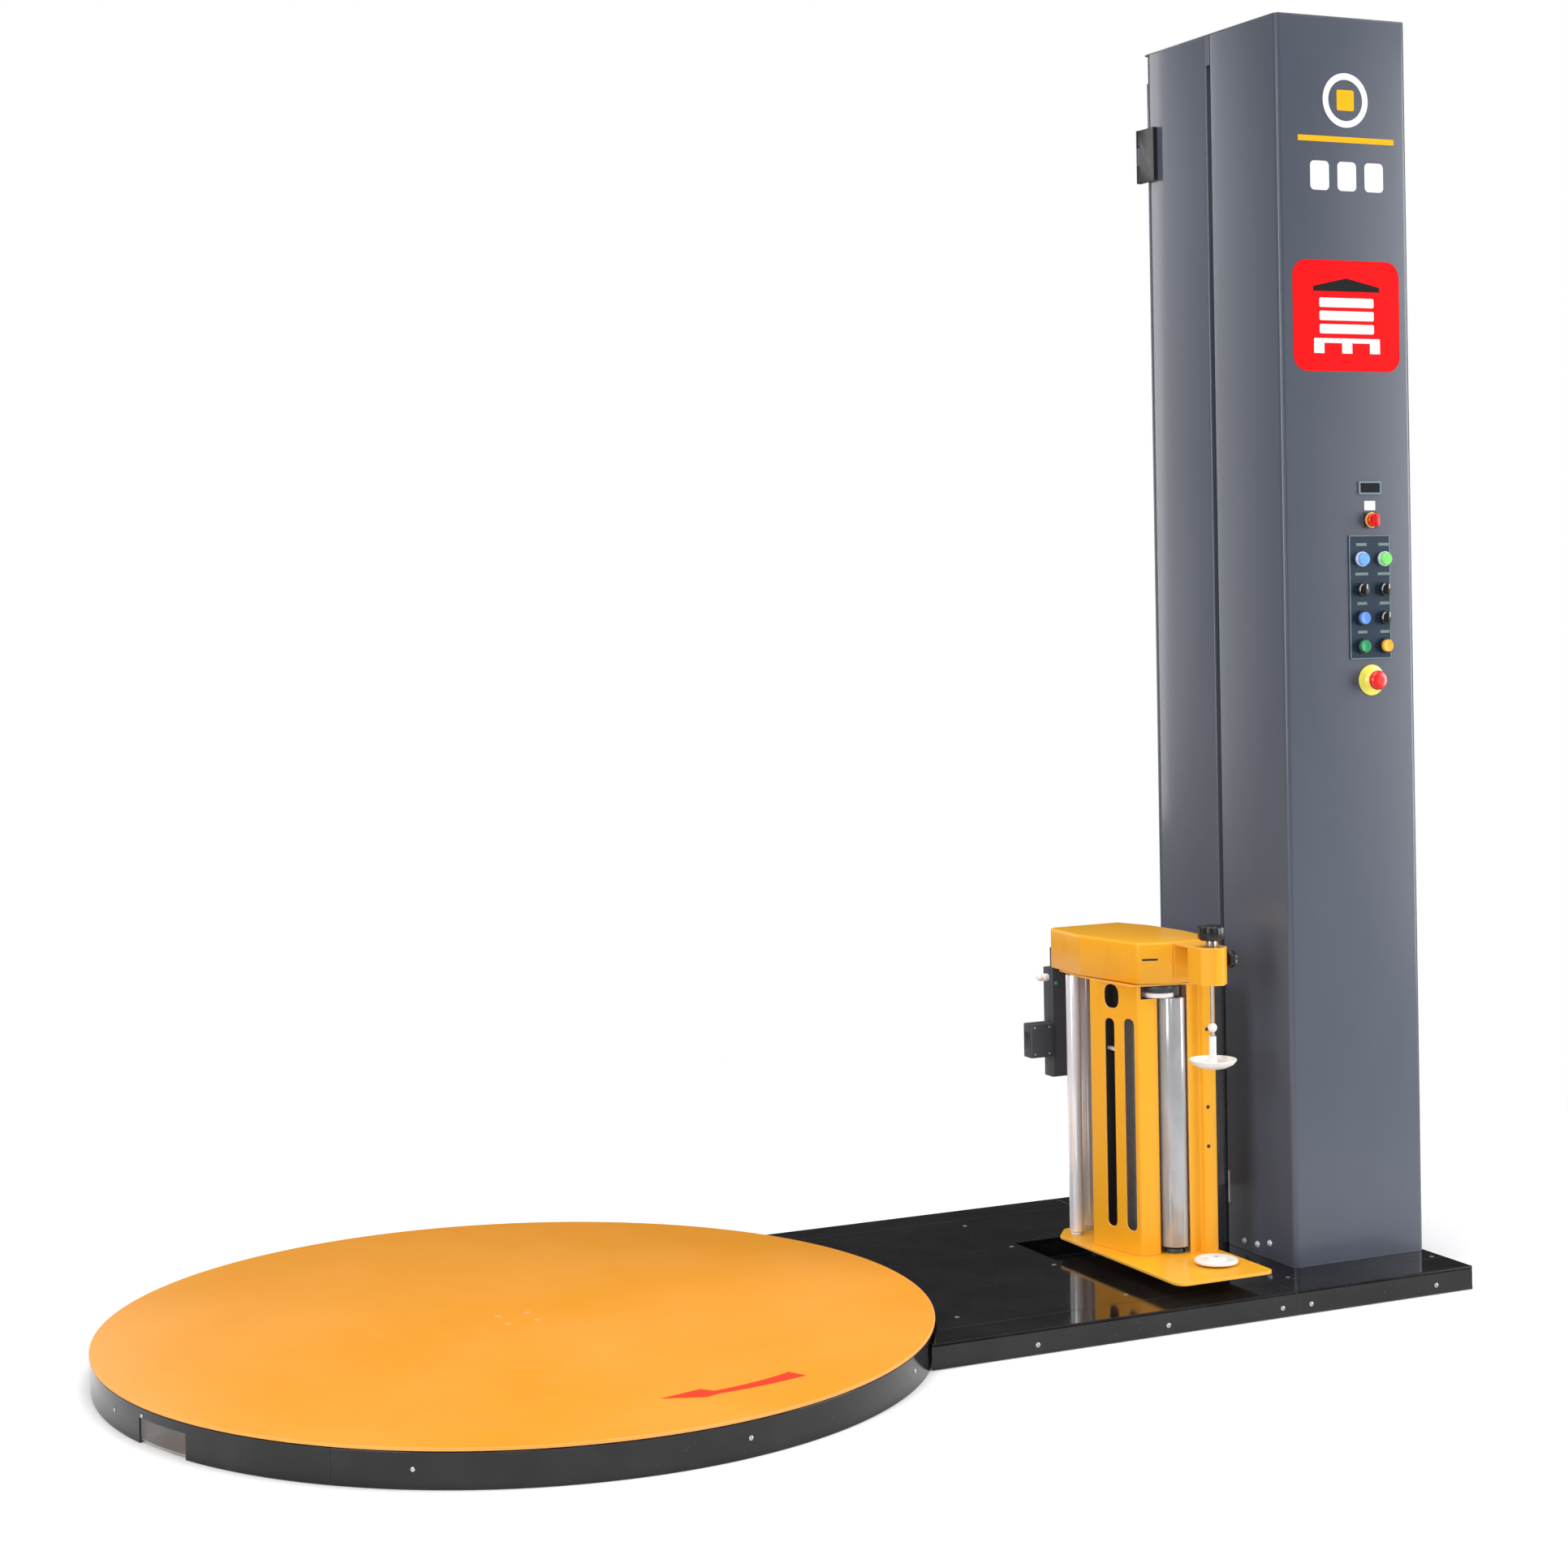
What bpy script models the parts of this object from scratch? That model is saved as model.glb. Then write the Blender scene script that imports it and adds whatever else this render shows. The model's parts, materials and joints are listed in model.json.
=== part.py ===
"""Turntable pallet wrapper, built as separate parts in metres with +Z up.

The origin is on the floor under the middle of the turntable. +X runs from the turntable to the
mast and +Y runs from the operator's side to the back. Every moving part has its origin on the
axis that it turns about or slides along.
"""

import math

import bmesh
import bpy
from mathutils import Matrix, Vector

# ---- Driving dimensions -----------------------------------------------------------------------
GAP = 0.0003                    # clearance between parts that touch
SMOOTH_ANGLE = math.radians(35)
SHEET = 0.003                   # cabinet sheet thickness
WHEEL_THICKNESS = 0.008         # chain ring and drive sprocket
SHAFT_BORE = 0.0095

TABLE_RADIUS = 0.825
TABLE_TOP = 0.072
TABLE_PLATE = 0.006
TRACK_RADIUS = 0.660            # where the support rollers run
SUPPORT_ROLLER_RADIUS = 0.024
SUPPORT_ROLLER_WIDTH = 0.022
SUPPORT_ROLLER_ANGLES = (45.0, 135.0, 225.0, 315.0)
FLOOR_PLATE_RADIUS = 0.812
FLOOR_PLATE = 0.004

CHAINRING_TEETH = 60
CHAINRING_RADIUS = 0.300
CHAINRING_INNER_RADIUS = 0.262
PINION_TEETH = 12
PINION_RADIUS = CHAINRING_RADIUS * PINION_TEETH / CHAINRING_TEETH
PINION_X = 0.560
TOOTH_HALF_HEIGHT = 0.003
DRIVE_LEVEL = 0.040             # underside of the chain ring

SKIRT_RADIUS = 0.823
SKIRT_SHEET = 0.004
SKIRT_HEIGHT = 0.064
SKIRT_SEAMS = (-36.0, 36.0, 132.0, 228.0, 324.0)
NOTCH_ANGLES = (195.6, 205.8)
NOTCH_HEIGHT = 0.046

DECK_TOP = 0.050
DECK_SHEET = 0.004
DECK_HALF_WIDTH = 0.490
DECK_COVER_HALF_WIDTH = 0.400
DECK_END = 1.955
DECK_CUT_RADIUS = 0.8275
WELL_LOW = (1.212, -0.034)      # opening in the deck beneath the film carriage
WELL_HIGH = (1.412, 0.154)

MAST_LOW = (1.615, -0.335)
MAST_HIGH = (1.950, 0.185)
MAST_TOP = 2.700
MAST_BEND = 0.012
SLOT_Y = -0.076
SLOT_HALF_WIDTH = 0.008
SLOT_TOP = 2.632
SLOT_FOLD = 0.020

LIFT_WHEEL_TEETH = 12
LIFT_WHEEL_RADIUS = 0.040
LIFT_WHEEL_X = 1.722
LIFT_WHEEL_Y = 0.005
LIFT_WHEEL_WIDTH = 0.010
LIFT_WHEEL_LEVELS = (0.110, 2.610)
GUIDE_LOW = (1.725, -0.116)
GUIDE_HIGH = (1.785, -0.036)

DOOR_AXIS = (1.6085, 0.1945)
DOOR_HINGE_LEVELS = (0.300, 2.410)
HINGE_HEIGHT = 0.120
HINGE_RADIUS = 0.0075
HINGE_PIN_RADIUS = 0.0032

PANEL_LOW = (1.780, 1.332)      # x and z on the front of the mast
PANEL_HIGH = (1.885, 1.597)
PANEL_SHEET = 0.002
CONTROL_COLUMNS = (1.812, 1.870)
CONTROL_ROWS = (1.546, 1.481, 1.420, 1.360)
BUTTON_RADIUS = 0.0130
KNOB_RADIUS = 0.0145
SWITCH_CENTRE = (1.840, 1.629)
STOP_CENTRE = (1.834, 1.287)
STOP_PLATE_RADIUS = 0.033
STOP_BUTTON_RADIUS = 0.021
BEZEL_HEIGHT = 0.0065

CARRIAGE_FLOOR = 0.085          # top of the carriage's bottom plate at its lowest stop
CARRIAGE_FLOOR_SHEET = 0.006
PANEL_FOLD_FRONT = (1.3125, -0.2125)    # the side panel's two upright bends
PANEL_FOLD_BACK = (1.2817, -0.0676)
PANEL_FLANGE_TOP = 0.626        # the front flange ends below the drive hub
COLUMN_X = 1.4815               # the carriage column's side towards the mast
HOOD_LOW = 0.668
HOOD_TOP = 0.7465
FILM_AXIS = (1.414, -0.340)
FILM_DISC_RADIUS = 0.045
ARM_HALF_WIDTH = 0.032
CONE_LOW = 0.491
CONE_TOP = 0.520
ROD_RADIUS = 0.004
RUBBER_ROLLER_RADIUS = 0.031
RUBBER_ROLLER_AXES = ((1.400, -0.205), (1.420, -0.125))
RUBBER_ROLLER_SPAN = (0.099, 0.6265)
IDLER_RADIUS = 0.0155
IDLER_AXES = ((1.298, 0.028), (1.351, 0.062))
IDLER_SPAN = (0.0925, 0.652)
JOURNAL_RADIUS = 0.008
IDLER_JOURNAL_RADIUS = 0.006

# ---- Finishes: colour, roughness, metallic ----------------------------------------------------
FINISHES = {
    "table_yellow": ((0.93, 0.42, 0.045), 0.45, 0.0),
    "carriage_yellow": ((0.92, 0.40, 0.03), 0.35, 0.0),
    "black_gloss": ((0.012, 0.012, 0.013), 0.18, 0.0),
    "mast_grey": ((0.15, 0.15, 0.17), 0.35, 0.25),
    "steel": ((0.55, 0.55, 0.56), 0.35, 1.0),
    "chrome": ((0.80, 0.80, 0.82), 0.12, 1.0),
    "grey_rubber": ((0.33, 0.35, 0.38), 0.45, 0.0),
    "white_nylon": ((0.80, 0.80, 0.78), 0.40, 0.0),
    "black_plastic": ((0.02, 0.02, 0.022), 0.40, 0.0),
    "slate_plastic": ((0.06, 0.065, 0.075), 0.50, 0.0),
    "panel_blue": ((0.02, 0.045, 0.08), 0.45, 0.0),
    "motor_grey": ((0.20, 0.22, 0.25), 0.45, 0.3),
    "signal_red": ((0.75, 0.03, 0.02), 0.35, 0.0),
    "signal_yellow": ((0.85, 0.70, 0.06), 0.40, 0.0),
    "button_blue": ((0.12, 0.30, 0.75), 0.30, 0.0),
    "button_green": ((0.05, 0.42, 0.16), 0.30, 0.0),
    "button_amber": ((0.90, 0.45, 0.04), 0.30, 0.0),
    "lens_blue": ((0.55, 0.75, 0.95), 0.25, 0.0),
    "lens_green": ((0.55, 0.90, 0.50), 0.25, 0.0),
}


# ---- Modelling helpers ------------------------------------------------------------------------
def clear_scene():
    for old in list(bpy.data.objects):
        bpy.data.objects.remove(old, do_unlink=True)


def material_for(name, finish):
    colour, roughness, metallic = FINISHES[finish]
    material = bpy.data.materials.new(f"{name}_{finish}")
    material.use_nodes = True
    shader = material.node_tree.nodes["Principled BSDF"]
    shader.inputs["Base Color"].default_value = (*colour, 1.0)
    shader.inputs["Roughness"].default_value = roughness
    shader.inputs["Metallic"].default_value = metallic
    return material


def box(low, high):
    """A closed box between two corners."""
    shape = bmesh.new()
    size = Vector(high) - Vector(low)
    middle = (Vector(high) + Vector(low)) / 2
    place = Matrix.Translation(middle) @ Matrix.Diagonal((*size, 1.0))
    bmesh.ops.create_cube(shape, size=1.0, matrix=place)
    return shape


def turned(profile, steps):
    """A profile of (radius, height) points turned about Z. A ring's profile repeats its first point."""
    shape = bmesh.new()
    points = [shape.verts.new((radius, 0.0, height)) for radius, height in profile]
    for first, second in zip(points, points[1:]):
        shape.edges.new((first, second))
    bmesh.ops.spin(shape, geom=shape.verts[:] + shape.edges[:], cent=(0, 0, 0), axis=(0, 0, 1),
                   angle=2 * math.pi, steps=steps, use_merge=True)
    bmesh.ops.remove_doubles(shape, verts=shape.verts[:], dist=1e-6)
    bmesh.ops.recalc_face_normals(shape, faces=shape.faces[:])
    return shape


def rod(radius, low, high, steps=24, bevel=0.0):
    """A round bar along Z, with its end edges bevelled."""
    profile = [(0.0, low), (radius - bevel, low), (radius, low + bevel),
               (radius, high - bevel), (radius - bevel, high), (0.0, high)]
    if bevel == 0.0:
        profile = [(0.0, low), (radius, low), (radius, high), (0.0, high)]
    return turned(profile, steps)


def prism(outline, low, high):
    """A flat outline of (x, y) points, extruded along Z."""
    shape = bmesh.new()
    face = shape.faces.new([shape.verts.new((x, y, low)) for x, y in outline])
    grown = bmesh.ops.extrude_face_region(shape, geom=[face])
    top = [item for item in grown["geom"] if isinstance(item, bmesh.types.BMVert)]
    bmesh.ops.translate(shape, verts=top, vec=(0, 0, high - low))
    bmesh.ops.recalc_face_normals(shape, faces=shape.faces[:])
    return shape


def ring_prism(outer, inner, low, high):
    """A flat ring between two outlines with the same number of points, extruded along Z."""
    shape = bmesh.new()
    loops = [[shape.verts.new((x, y, z)) for x, y in outline]
             for outline, z in ((outer, low), (outer, high), (inner, high), (inner, low))]
    count = len(outer)
    for loop, after in zip(loops, loops[1:] + loops[:1]):
        for i in range(count):
            j = (i + 1) % count
            shape.faces.new((loop[i], loop[j], after[j], after[i]))
    bmesh.ops.recalc_face_normals(shape, faces=shape.faces[:])
    return shape


def arc(centre, radius, start, end, steps):
    """Points along an arc, with its angles in degrees."""
    points = []
    for i in range(steps + 1):
        angle = math.radians(start + (end - start) * i / steps)
        points.append((centre[0] + radius * math.cos(angle), centre[1] + radius * math.sin(angle)))
    return points


def rounded(corners, radius, steps=4):
    """A closed outline with each corner rounded to the same radius."""
    outline = []
    count = len(corners)
    for i, corner in enumerate(corners):
        here = Vector(corner)
        before = (Vector(corners[i - 1]) - here).normalized()
        after = (Vector(corners[(i + 1) % count]) - here).normalized()
        outline += fillet(here, before, after, radius, steps)
    return outline


def fillet(corner, before, after, radius, steps):
    """Points of the arc that rounds a corner, given unit vectors to its neighbours."""
    half = before.angle(after) / 2
    middle = corner + (before + after).normalized() * (radius / math.sin(half))
    start = corner + before * (radius / math.tan(half)) - middle
    end = corner + after * (radius / math.tan(half)) - middle
    turn = start.angle_signed(end)
    points = []
    for i in range(steps + 1):
        share = turn * i / steps
        spun = Vector((start.x * math.cos(share) + start.y * math.sin(share),
                       start.y * math.cos(share) - start.x * math.sin(share)))
        points.append(tuple(middle + spun))
    return points


def bent_sheet(path, thickness, bend=0.006, steps=3):
    """The outline of a folded sheet. The path is its right-hand face, and the sheet lies on its left."""
    bends = [tuple(path[0])]
    for before, corner, after in zip(path, path[1:], path[2:]):
        here = Vector(corner)
        bends += fillet(here, (Vector(before) - here).normalized(),
                        (Vector(after) - here).normalized(), bend, steps)
    bends.append(tuple(path[-1]))
    inner = []
    for i, point in enumerate(bends):
        before = Vector(bends[max(i - 1, 0)])
        after = Vector(bends[min(i + 1, len(bends) - 1)])
        along = (after - before).normalized()
        inner.append((point[0] - along.y * thickness, point[1] + along.x * thickness))
    return bends + inner[::-1]


def round_outline(radius, points):
    """A circle's outline, with its first point on +X."""
    return [(radius * math.cos(2 * math.pi * i / points), radius * math.sin(2 * math.pi * i / points))
            for i in range(points)]


def toothed(teeth, radius, half_height):
    """A sprocket's outline, with one tip and one root for each tooth."""
    outline = []
    for i in range(teeth * 2):
        reach = radius + (half_height if i % 2 == 0 else -half_height)
        angle = math.pi * i / teeth
        outline.append((reach * math.cos(angle), reach * math.sin(angle)))
    return outline


def belt_loop(first, first_radius, second, second_radius, steps):
    """A loop around two circles: the far arc of each, joined by their outer tangents."""
    gap = Vector(second) - Vector(first)
    heading = math.degrees(math.atan2(gap.y, gap.x))
    lean = math.degrees(math.acos((first_radius - second_radius) / gap.length))
    around_first = arc(first, first_radius, heading + lean, heading + 360 - lean, steps)
    around_second = arc(second, second_radius, heading - lean, heading + lean, steps)
    return around_first + around_second


def moved(shape, place):
    bmesh.ops.transform(shape, matrix=place, verts=shape.verts[:])
    return shape


def facing_front(x, y, z):
    """Turns a shape made along +Z to face the operator along -Y, standing at a point."""
    return Matrix.Translation((x, y, z)) @ Matrix.Rotation(math.pi / 2, 4, "X")


def add_part(name, shape, finish, origin=(0.0, 0.0, 0.0)):
    """Make a named object from a shape in world places, with its origin at a point."""
    mesh = bpy.data.meshes.new(name)
    shape.to_mesh(mesh)
    shape.free()
    mesh.transform(Matrix.Translation(-Vector(origin)))
    part = bpy.data.objects.new(name, mesh)
    part.location = origin
    part.data.materials.append(material_for(name, finish))
    bpy.context.collection.objects.link(part)
    mesh.shade_smooth()
    mesh.set_sharp_from_angle(angle=SMOOTH_ANGLE)
    return part


def combine(part, tools, operation):
    """Join tools to a part, or cut them out of it, one by one."""
    origin = part.location.copy()
    for tool in tools:
        mesh = bpy.data.meshes.new("tool")
        tool.to_mesh(mesh)
        tool.free()
        helper = bpy.data.objects.new("tool", mesh)
        helper.hide_render = True
        helper.display_type = "WIRE"
        bpy.context.collection.objects.link(helper)
        step = part.modifiers.new("combine", "BOOLEAN")
        step.operation = operation
        step.object = helper
        bpy.context.view_layer.update()
        result = bpy.data.meshes.new_from_object(part.evaluated_get(bpy.context.evaluated_depsgraph_get()))
        part.modifiers.clear()
        old = part.data
        part.data = result
        result.name = part.name
        bpy.data.meshes.remove(old)
        bpy.data.objects.remove(helper)
    part.location = origin
    return part


def cut(part, *tools):
    return combine(part, tools, "DIFFERENCE")


def join(part, *tools):
    return combine(part, tools, "UNION")


# ---- Turntable --------------------------------------------------------------------------------
def make_turntable():
    under = TABLE_TOP - TABLE_PLATE
    edge = 0.0012
    ring_seat = DRIVE_LEVEL + WHEEL_THICKNESS + GAP
    hub_low = 0.014
    profile = [
        (0.0, TABLE_TOP), (TABLE_RADIUS - edge, TABLE_TOP), (TABLE_RADIUS, TABLE_TOP - edge),
        (TABLE_RADIUS, under), (0.290, under), (0.290, ring_seat), (0.272, ring_seat), (0.272, under),
        (0.052, under), (0.052, hub_low), (0.034, hub_low), (0.034, under - 0.002), (0.0, under - 0.002),
    ]
    add_part("turntable_plate", turned(profile, 72), "table_yellow")
    inner = round_outline(CHAINRING_INNER_RADIUS, CHAINRING_TEETH * 2)
    teeth = toothed(CHAINRING_TEETH, CHAINRING_RADIUS, TOOTH_HALF_HEIGHT)
    add_part("chain_ring", ring_prism(teeth, inner, DRIVE_LEVEL, DRIVE_LEVEL + WHEEL_THICKNESS), "steel")


def make_floor_plate():
    """The round steel plate on the floor, with a fork and an axle for each support roller."""
    plate = add_part("floor_plate", rod(FLOOR_PLATE_RADIUS, 0.0, FLOOR_PLATE, 48), "black_gloss")
    level = TABLE_TOP - TABLE_PLATE - GAP - SUPPORT_ROLLER_RADIUS
    ear_gap = SUPPORT_ROLLER_WIDTH / 2 + 0.001
    for angle in SUPPORT_ROLLER_ANGLES:
        turn = Matrix.Rotation(math.radians(angle), 4, "Z")
        ears = [box((TRACK_RADIUS + side * ear_gap - 0.0025 + side * 0.0025, -0.012, 0.002),
                    (TRACK_RADIUS + side * ear_gap + 0.0025 + side * 0.0025, 0.012, level + 0.010))
                for side in (-1, 1)]
        place = Matrix.Translation((TRACK_RADIUS, 0, level)) @ Matrix.Rotation(math.pi / 2, 4, "Y")
        axle = moved(rod(0.005, -ear_gap - 0.003, ear_gap + 0.003, 12), place)
        join(plate, *[moved(piece, turn) for piece in (*ears, axle)])
    post = [(0.0, FLOOR_PLATE + GAP), (0.060, FLOOR_PLATE + GAP), (0.060, 0.012), (0.030, 0.012),
            (0.030, 0.058), (0.028, 0.060), (0.0, 0.060)]
    add_part("centre_pivot", turned(post, 24), "steel")


def make_support_rollers():
    level = TABLE_TOP - TABLE_PLATE - GAP - SUPPORT_ROLLER_RADIUS
    half = SUPPORT_ROLLER_WIDTH / 2
    outer = SUPPORT_ROLLER_RADIUS
    profile = [(0.006, -half), (outer - 0.001, -half), (outer, 0.001 - half), (outer, half - 0.001),
               (outer - 0.001, half), (0.006, half), (0.006, -half)]
    for number, angle in enumerate(SUPPORT_ROLLER_ANGLES, start=1):
        turn = math.radians(angle)
        centre = (TRACK_RADIUS * math.cos(turn), TRACK_RADIUS * math.sin(turn), level)
        lying = Matrix.Rotation(turn, 4, "Z") @ Matrix.Rotation(math.pi / 2, 4, "Y")
        roller = moved(turned(profile, 20), Matrix.Translation(centre) @ lying)
        add_part(f"support_roller_{number}", roller, "white_nylon", centre)


def make_table_drive():
    """Gearmotor lying under the table, its sprocket and the chain around the chain ring."""
    shaft = 0.008
    sprocket = toothed(PINION_TEETH, PINION_RADIUS, TOOTH_HALF_HEIGHT)
    bore = round_outline(SHAFT_BORE, PINION_TEETH * 2)
    wheel = ring_prism(sprocket, bore, DRIVE_LEVEL, DRIVE_LEVEL + WHEEL_THICKNESS)
    moved(wheel, Matrix.Translation((PINION_X, 0, 0)))
    add_part("drive_sprocket", wheel, "steel", (PINION_X, 0.0, DRIVE_LEVEL))
    motor = add_part("drive_gearmotor", box((PINION_X - 0.050, -0.045, FLOOR_PLATE + GAP),
                                            (PINION_X + 0.095, 0.045, 0.037)), "motor_grey")
    lying = Matrix.Translation((PINION_X, 0, 0.0320)) @ Matrix.Rotation(math.pi / 2, 4, "Y")
    join(motor, moved(rod(shaft, 0.030, 0.056, 16), Matrix.Translation((PINION_X, 0, 0))),
         moved(rod(0.0265, 0.080, 0.225, 20, 0.002), lying))
    centre = (0.0, 0.0)
    pinion = (PINION_X, 0.0)
    clear = TOOTH_HALF_HEIGHT + 0.003
    inner = belt_loop(centre, CHAINRING_RADIUS + clear, pinion, PINION_RADIUS + clear, 22)
    outer = belt_loop(centre, CHAINRING_RADIUS + clear + 0.006, pinion, PINION_RADIUS + clear + 0.006, 22)
    add_part("drive_chain", ring_prism(outer, inner, DRIVE_LEVEL + 0.001, DRIVE_LEVEL + 0.007), "steel")


def make_skirt():
    """The rim around the turntable, in four bent strips. The left one has a notch at the floor."""
    inner_radius = SKIRT_RADIUS - SKIRT_SHEET
    margin = math.degrees(GAP / SKIRT_RADIUS)
    names = ("skirt_mast_side", "skirt_back", "skirt_left", "skirt_front")
    for name, start, end in zip(names, SKIRT_SEAMS, SKIRT_SEAMS[1:]):
        steps = round((end - start) / 4)
        outline = arc((0, 0), SKIRT_RADIUS, start + margin, end - margin, steps)
        outline += arc((0, 0), inner_radius, end - margin, start + margin, steps)
        strip = add_part(name, prism(outline, 0.0, SKIRT_HEIGHT), "black_gloss")
        if name == "skirt_left":
            notch = arc((0, 0), SKIRT_RADIUS + 0.020, *NOTCH_ANGLES, 4)
            notch += arc((0, 0), inner_radius - 0.020, *reversed(NOTCH_ANGLES), 4)
            cut(strip, prism(notch, -0.010, NOTCH_HEIGHT))


# ---- Deck between the turntable and the mast --------------------------------------------------
def make_deck():
    rail_end = DECK_END - DECK_SHEET - GAP
    lowest = DECK_TOP - DECK_SHEET
    rim = rod(DECK_CUT_RADIUS, -0.1, 0.1, 96)
    lip = DECK_HALF_WIDTH - DECK_COVER_HALF_WIDTH - GAP
    section = bent_sheet([(lip, DECK_TOP), (0.0, DECK_TOP), (0.0, 0.0), (0.030, 0.0)], DECK_SHEET, 0.005)
    for name, side in (("side_rail_front", -1), ("side_rail_back", 1)):
        rail = prism(section, 0.60, rail_end)
        upright = Matrix(((0, 0, 1, 0), (-side, 0, 0, side * DECK_HALF_WIDTH), (0, 1, 0, 0), (0, 0, 0, 1)))
        moved(rail, upright)
        bmesh.ops.recalc_face_normals(rail, faces=rail.faces[:])
        cut(add_part(name, rail, "black_gloss"), rim.copy())
    cover = add_part("deck_cover", box((0.70, -DECK_COVER_HALF_WIDTH, lowest),
                                       (rail_end, DECK_COVER_HALF_WIDTH, DECK_TOP)), "black_gloss")
    cut(cover, rim, box((*WELL_LOW, 0.0), (*WELL_HIGH, 0.1)))
    add_part("end_rail", box((DECK_END - DECK_SHEET, -DECK_HALF_WIDTH, 0.0),
                             (DECK_END, DECK_HALF_WIDTH, DECK_TOP)), "black_gloss")


# ---- Mast -------------------------------------------------------------------------------------
def make_mast_shells():
    """Folded sheets around the mast, open behind the door, and a cap whose tab ends the slot."""
    low = DECK_TOP + GAP
    high = MAST_TOP - SHEET - GAP
    left, front = MAST_LOW
    right, back = MAST_HIGH
    edge = SLOT_Y - SLOT_HALF_WIDTH
    path = [(left + SLOT_FOLD, edge), (left, edge), (left, front), (right, front), (right, front + 0.030)]
    add_part("mast_front_shell", prism(bent_sheet(path, SHEET, MAST_BEND), low, high), "mast_grey")
    edge = SLOT_Y + SLOT_HALF_WIDTH
    path = [(left + 0.060, back), (left, back), (left, edge), (left + SLOT_FOLD, edge)]
    add_part("mast_back_shell", prism(bent_sheet(path, SHEET, MAST_BEND), low, high), "mast_grey")
    path = [(right, front + 0.030 + GAP), (right, back), (right - 0.060, back)]
    add_part("mast_side_panel", prism(bent_sheet(path, SHEET, MAST_BEND), low, high), "mast_grey")
    outline = [(left, front), (right, front), (right, back), (left, back)]
    cap = prism(rounded(outline, MAST_BEND), high + GAP, MAST_TOP)
    tab = box((left, SLOT_Y - SLOT_HALF_WIDTH + GAP, SLOT_TOP),
              (left + SHEET, SLOT_Y + SLOT_HALF_WIDTH - GAP, MAST_TOP - 0.001))
    join(add_part("mast_cap", cap, "mast_grey"), tab)


def make_rear_door():
    """The service door on the back of the mast, with a lug in the middle of each hinge."""
    axis_x, axis_y = DOOR_AXIS
    face = MAST_HIGH[1] + 0.001
    low = 0.080
    high = MAST_TOP - 0.060
    path = [(MAST_HIGH[0] - 0.004, face), (MAST_HIGH[0] - 0.004, face + 0.018),
            (MAST_LOW[0] + 0.020, face + 0.018), (MAST_LOW[0] + 0.020, face)]
    door = add_part("rear_door", prism(bent_sheet(path, 0.002, 0.004), low, high), "mast_grey",
                    (axis_x, axis_y, 0.0))
    third = HINGE_HEIGHT / 3
    here = Matrix.Translation((axis_x, axis_y, 0))
    for name, level in zip(("door_hinge_bottom", "door_hinge_top"), DOOR_HINGE_LEVELS):
        middle_low = level + third + GAP
        middle_high = level + 2 * third - GAP
        knuckle = moved(rod(HINGE_RADIUS, middle_low, middle_high, 20), here)
        lug = box((axis_x + 0.002, axis_y - 0.003, middle_low),
                  (MAST_LOW[0] + 0.030, axis_y + 0.003, middle_high))
        join(door, knuckle, lug)
        cut(door, moved(rod(HINGE_PIN_RADIUS + 0.001, level, level + HINGE_HEIGHT, 20), here))
        web = 0.0045
        block = box((axis_x - web, MAST_HIGH[1] - 0.055, level),
                    (MAST_LOW[0] - GAP, axis_y - HINGE_RADIUS - 0.0007, level + HINGE_HEIGHT))
        hinge = add_part(name, block, "black_plastic")
        pieces = [moved(rod(HINGE_PIN_RADIUS, level + 0.002, level + HINGE_HEIGHT - 0.002, 16), here)]
        for low_end in (level, level + 2 * third):
            pieces.append(moved(rod(HINGE_RADIUS, low_end, low_end + third, 20), here))
            pieces.append(box((axis_x - web, axis_y - 0.012, low_end),
                              (axis_x + web, axis_y, low_end + third)))
        join(hinge, *pieces)


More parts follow.
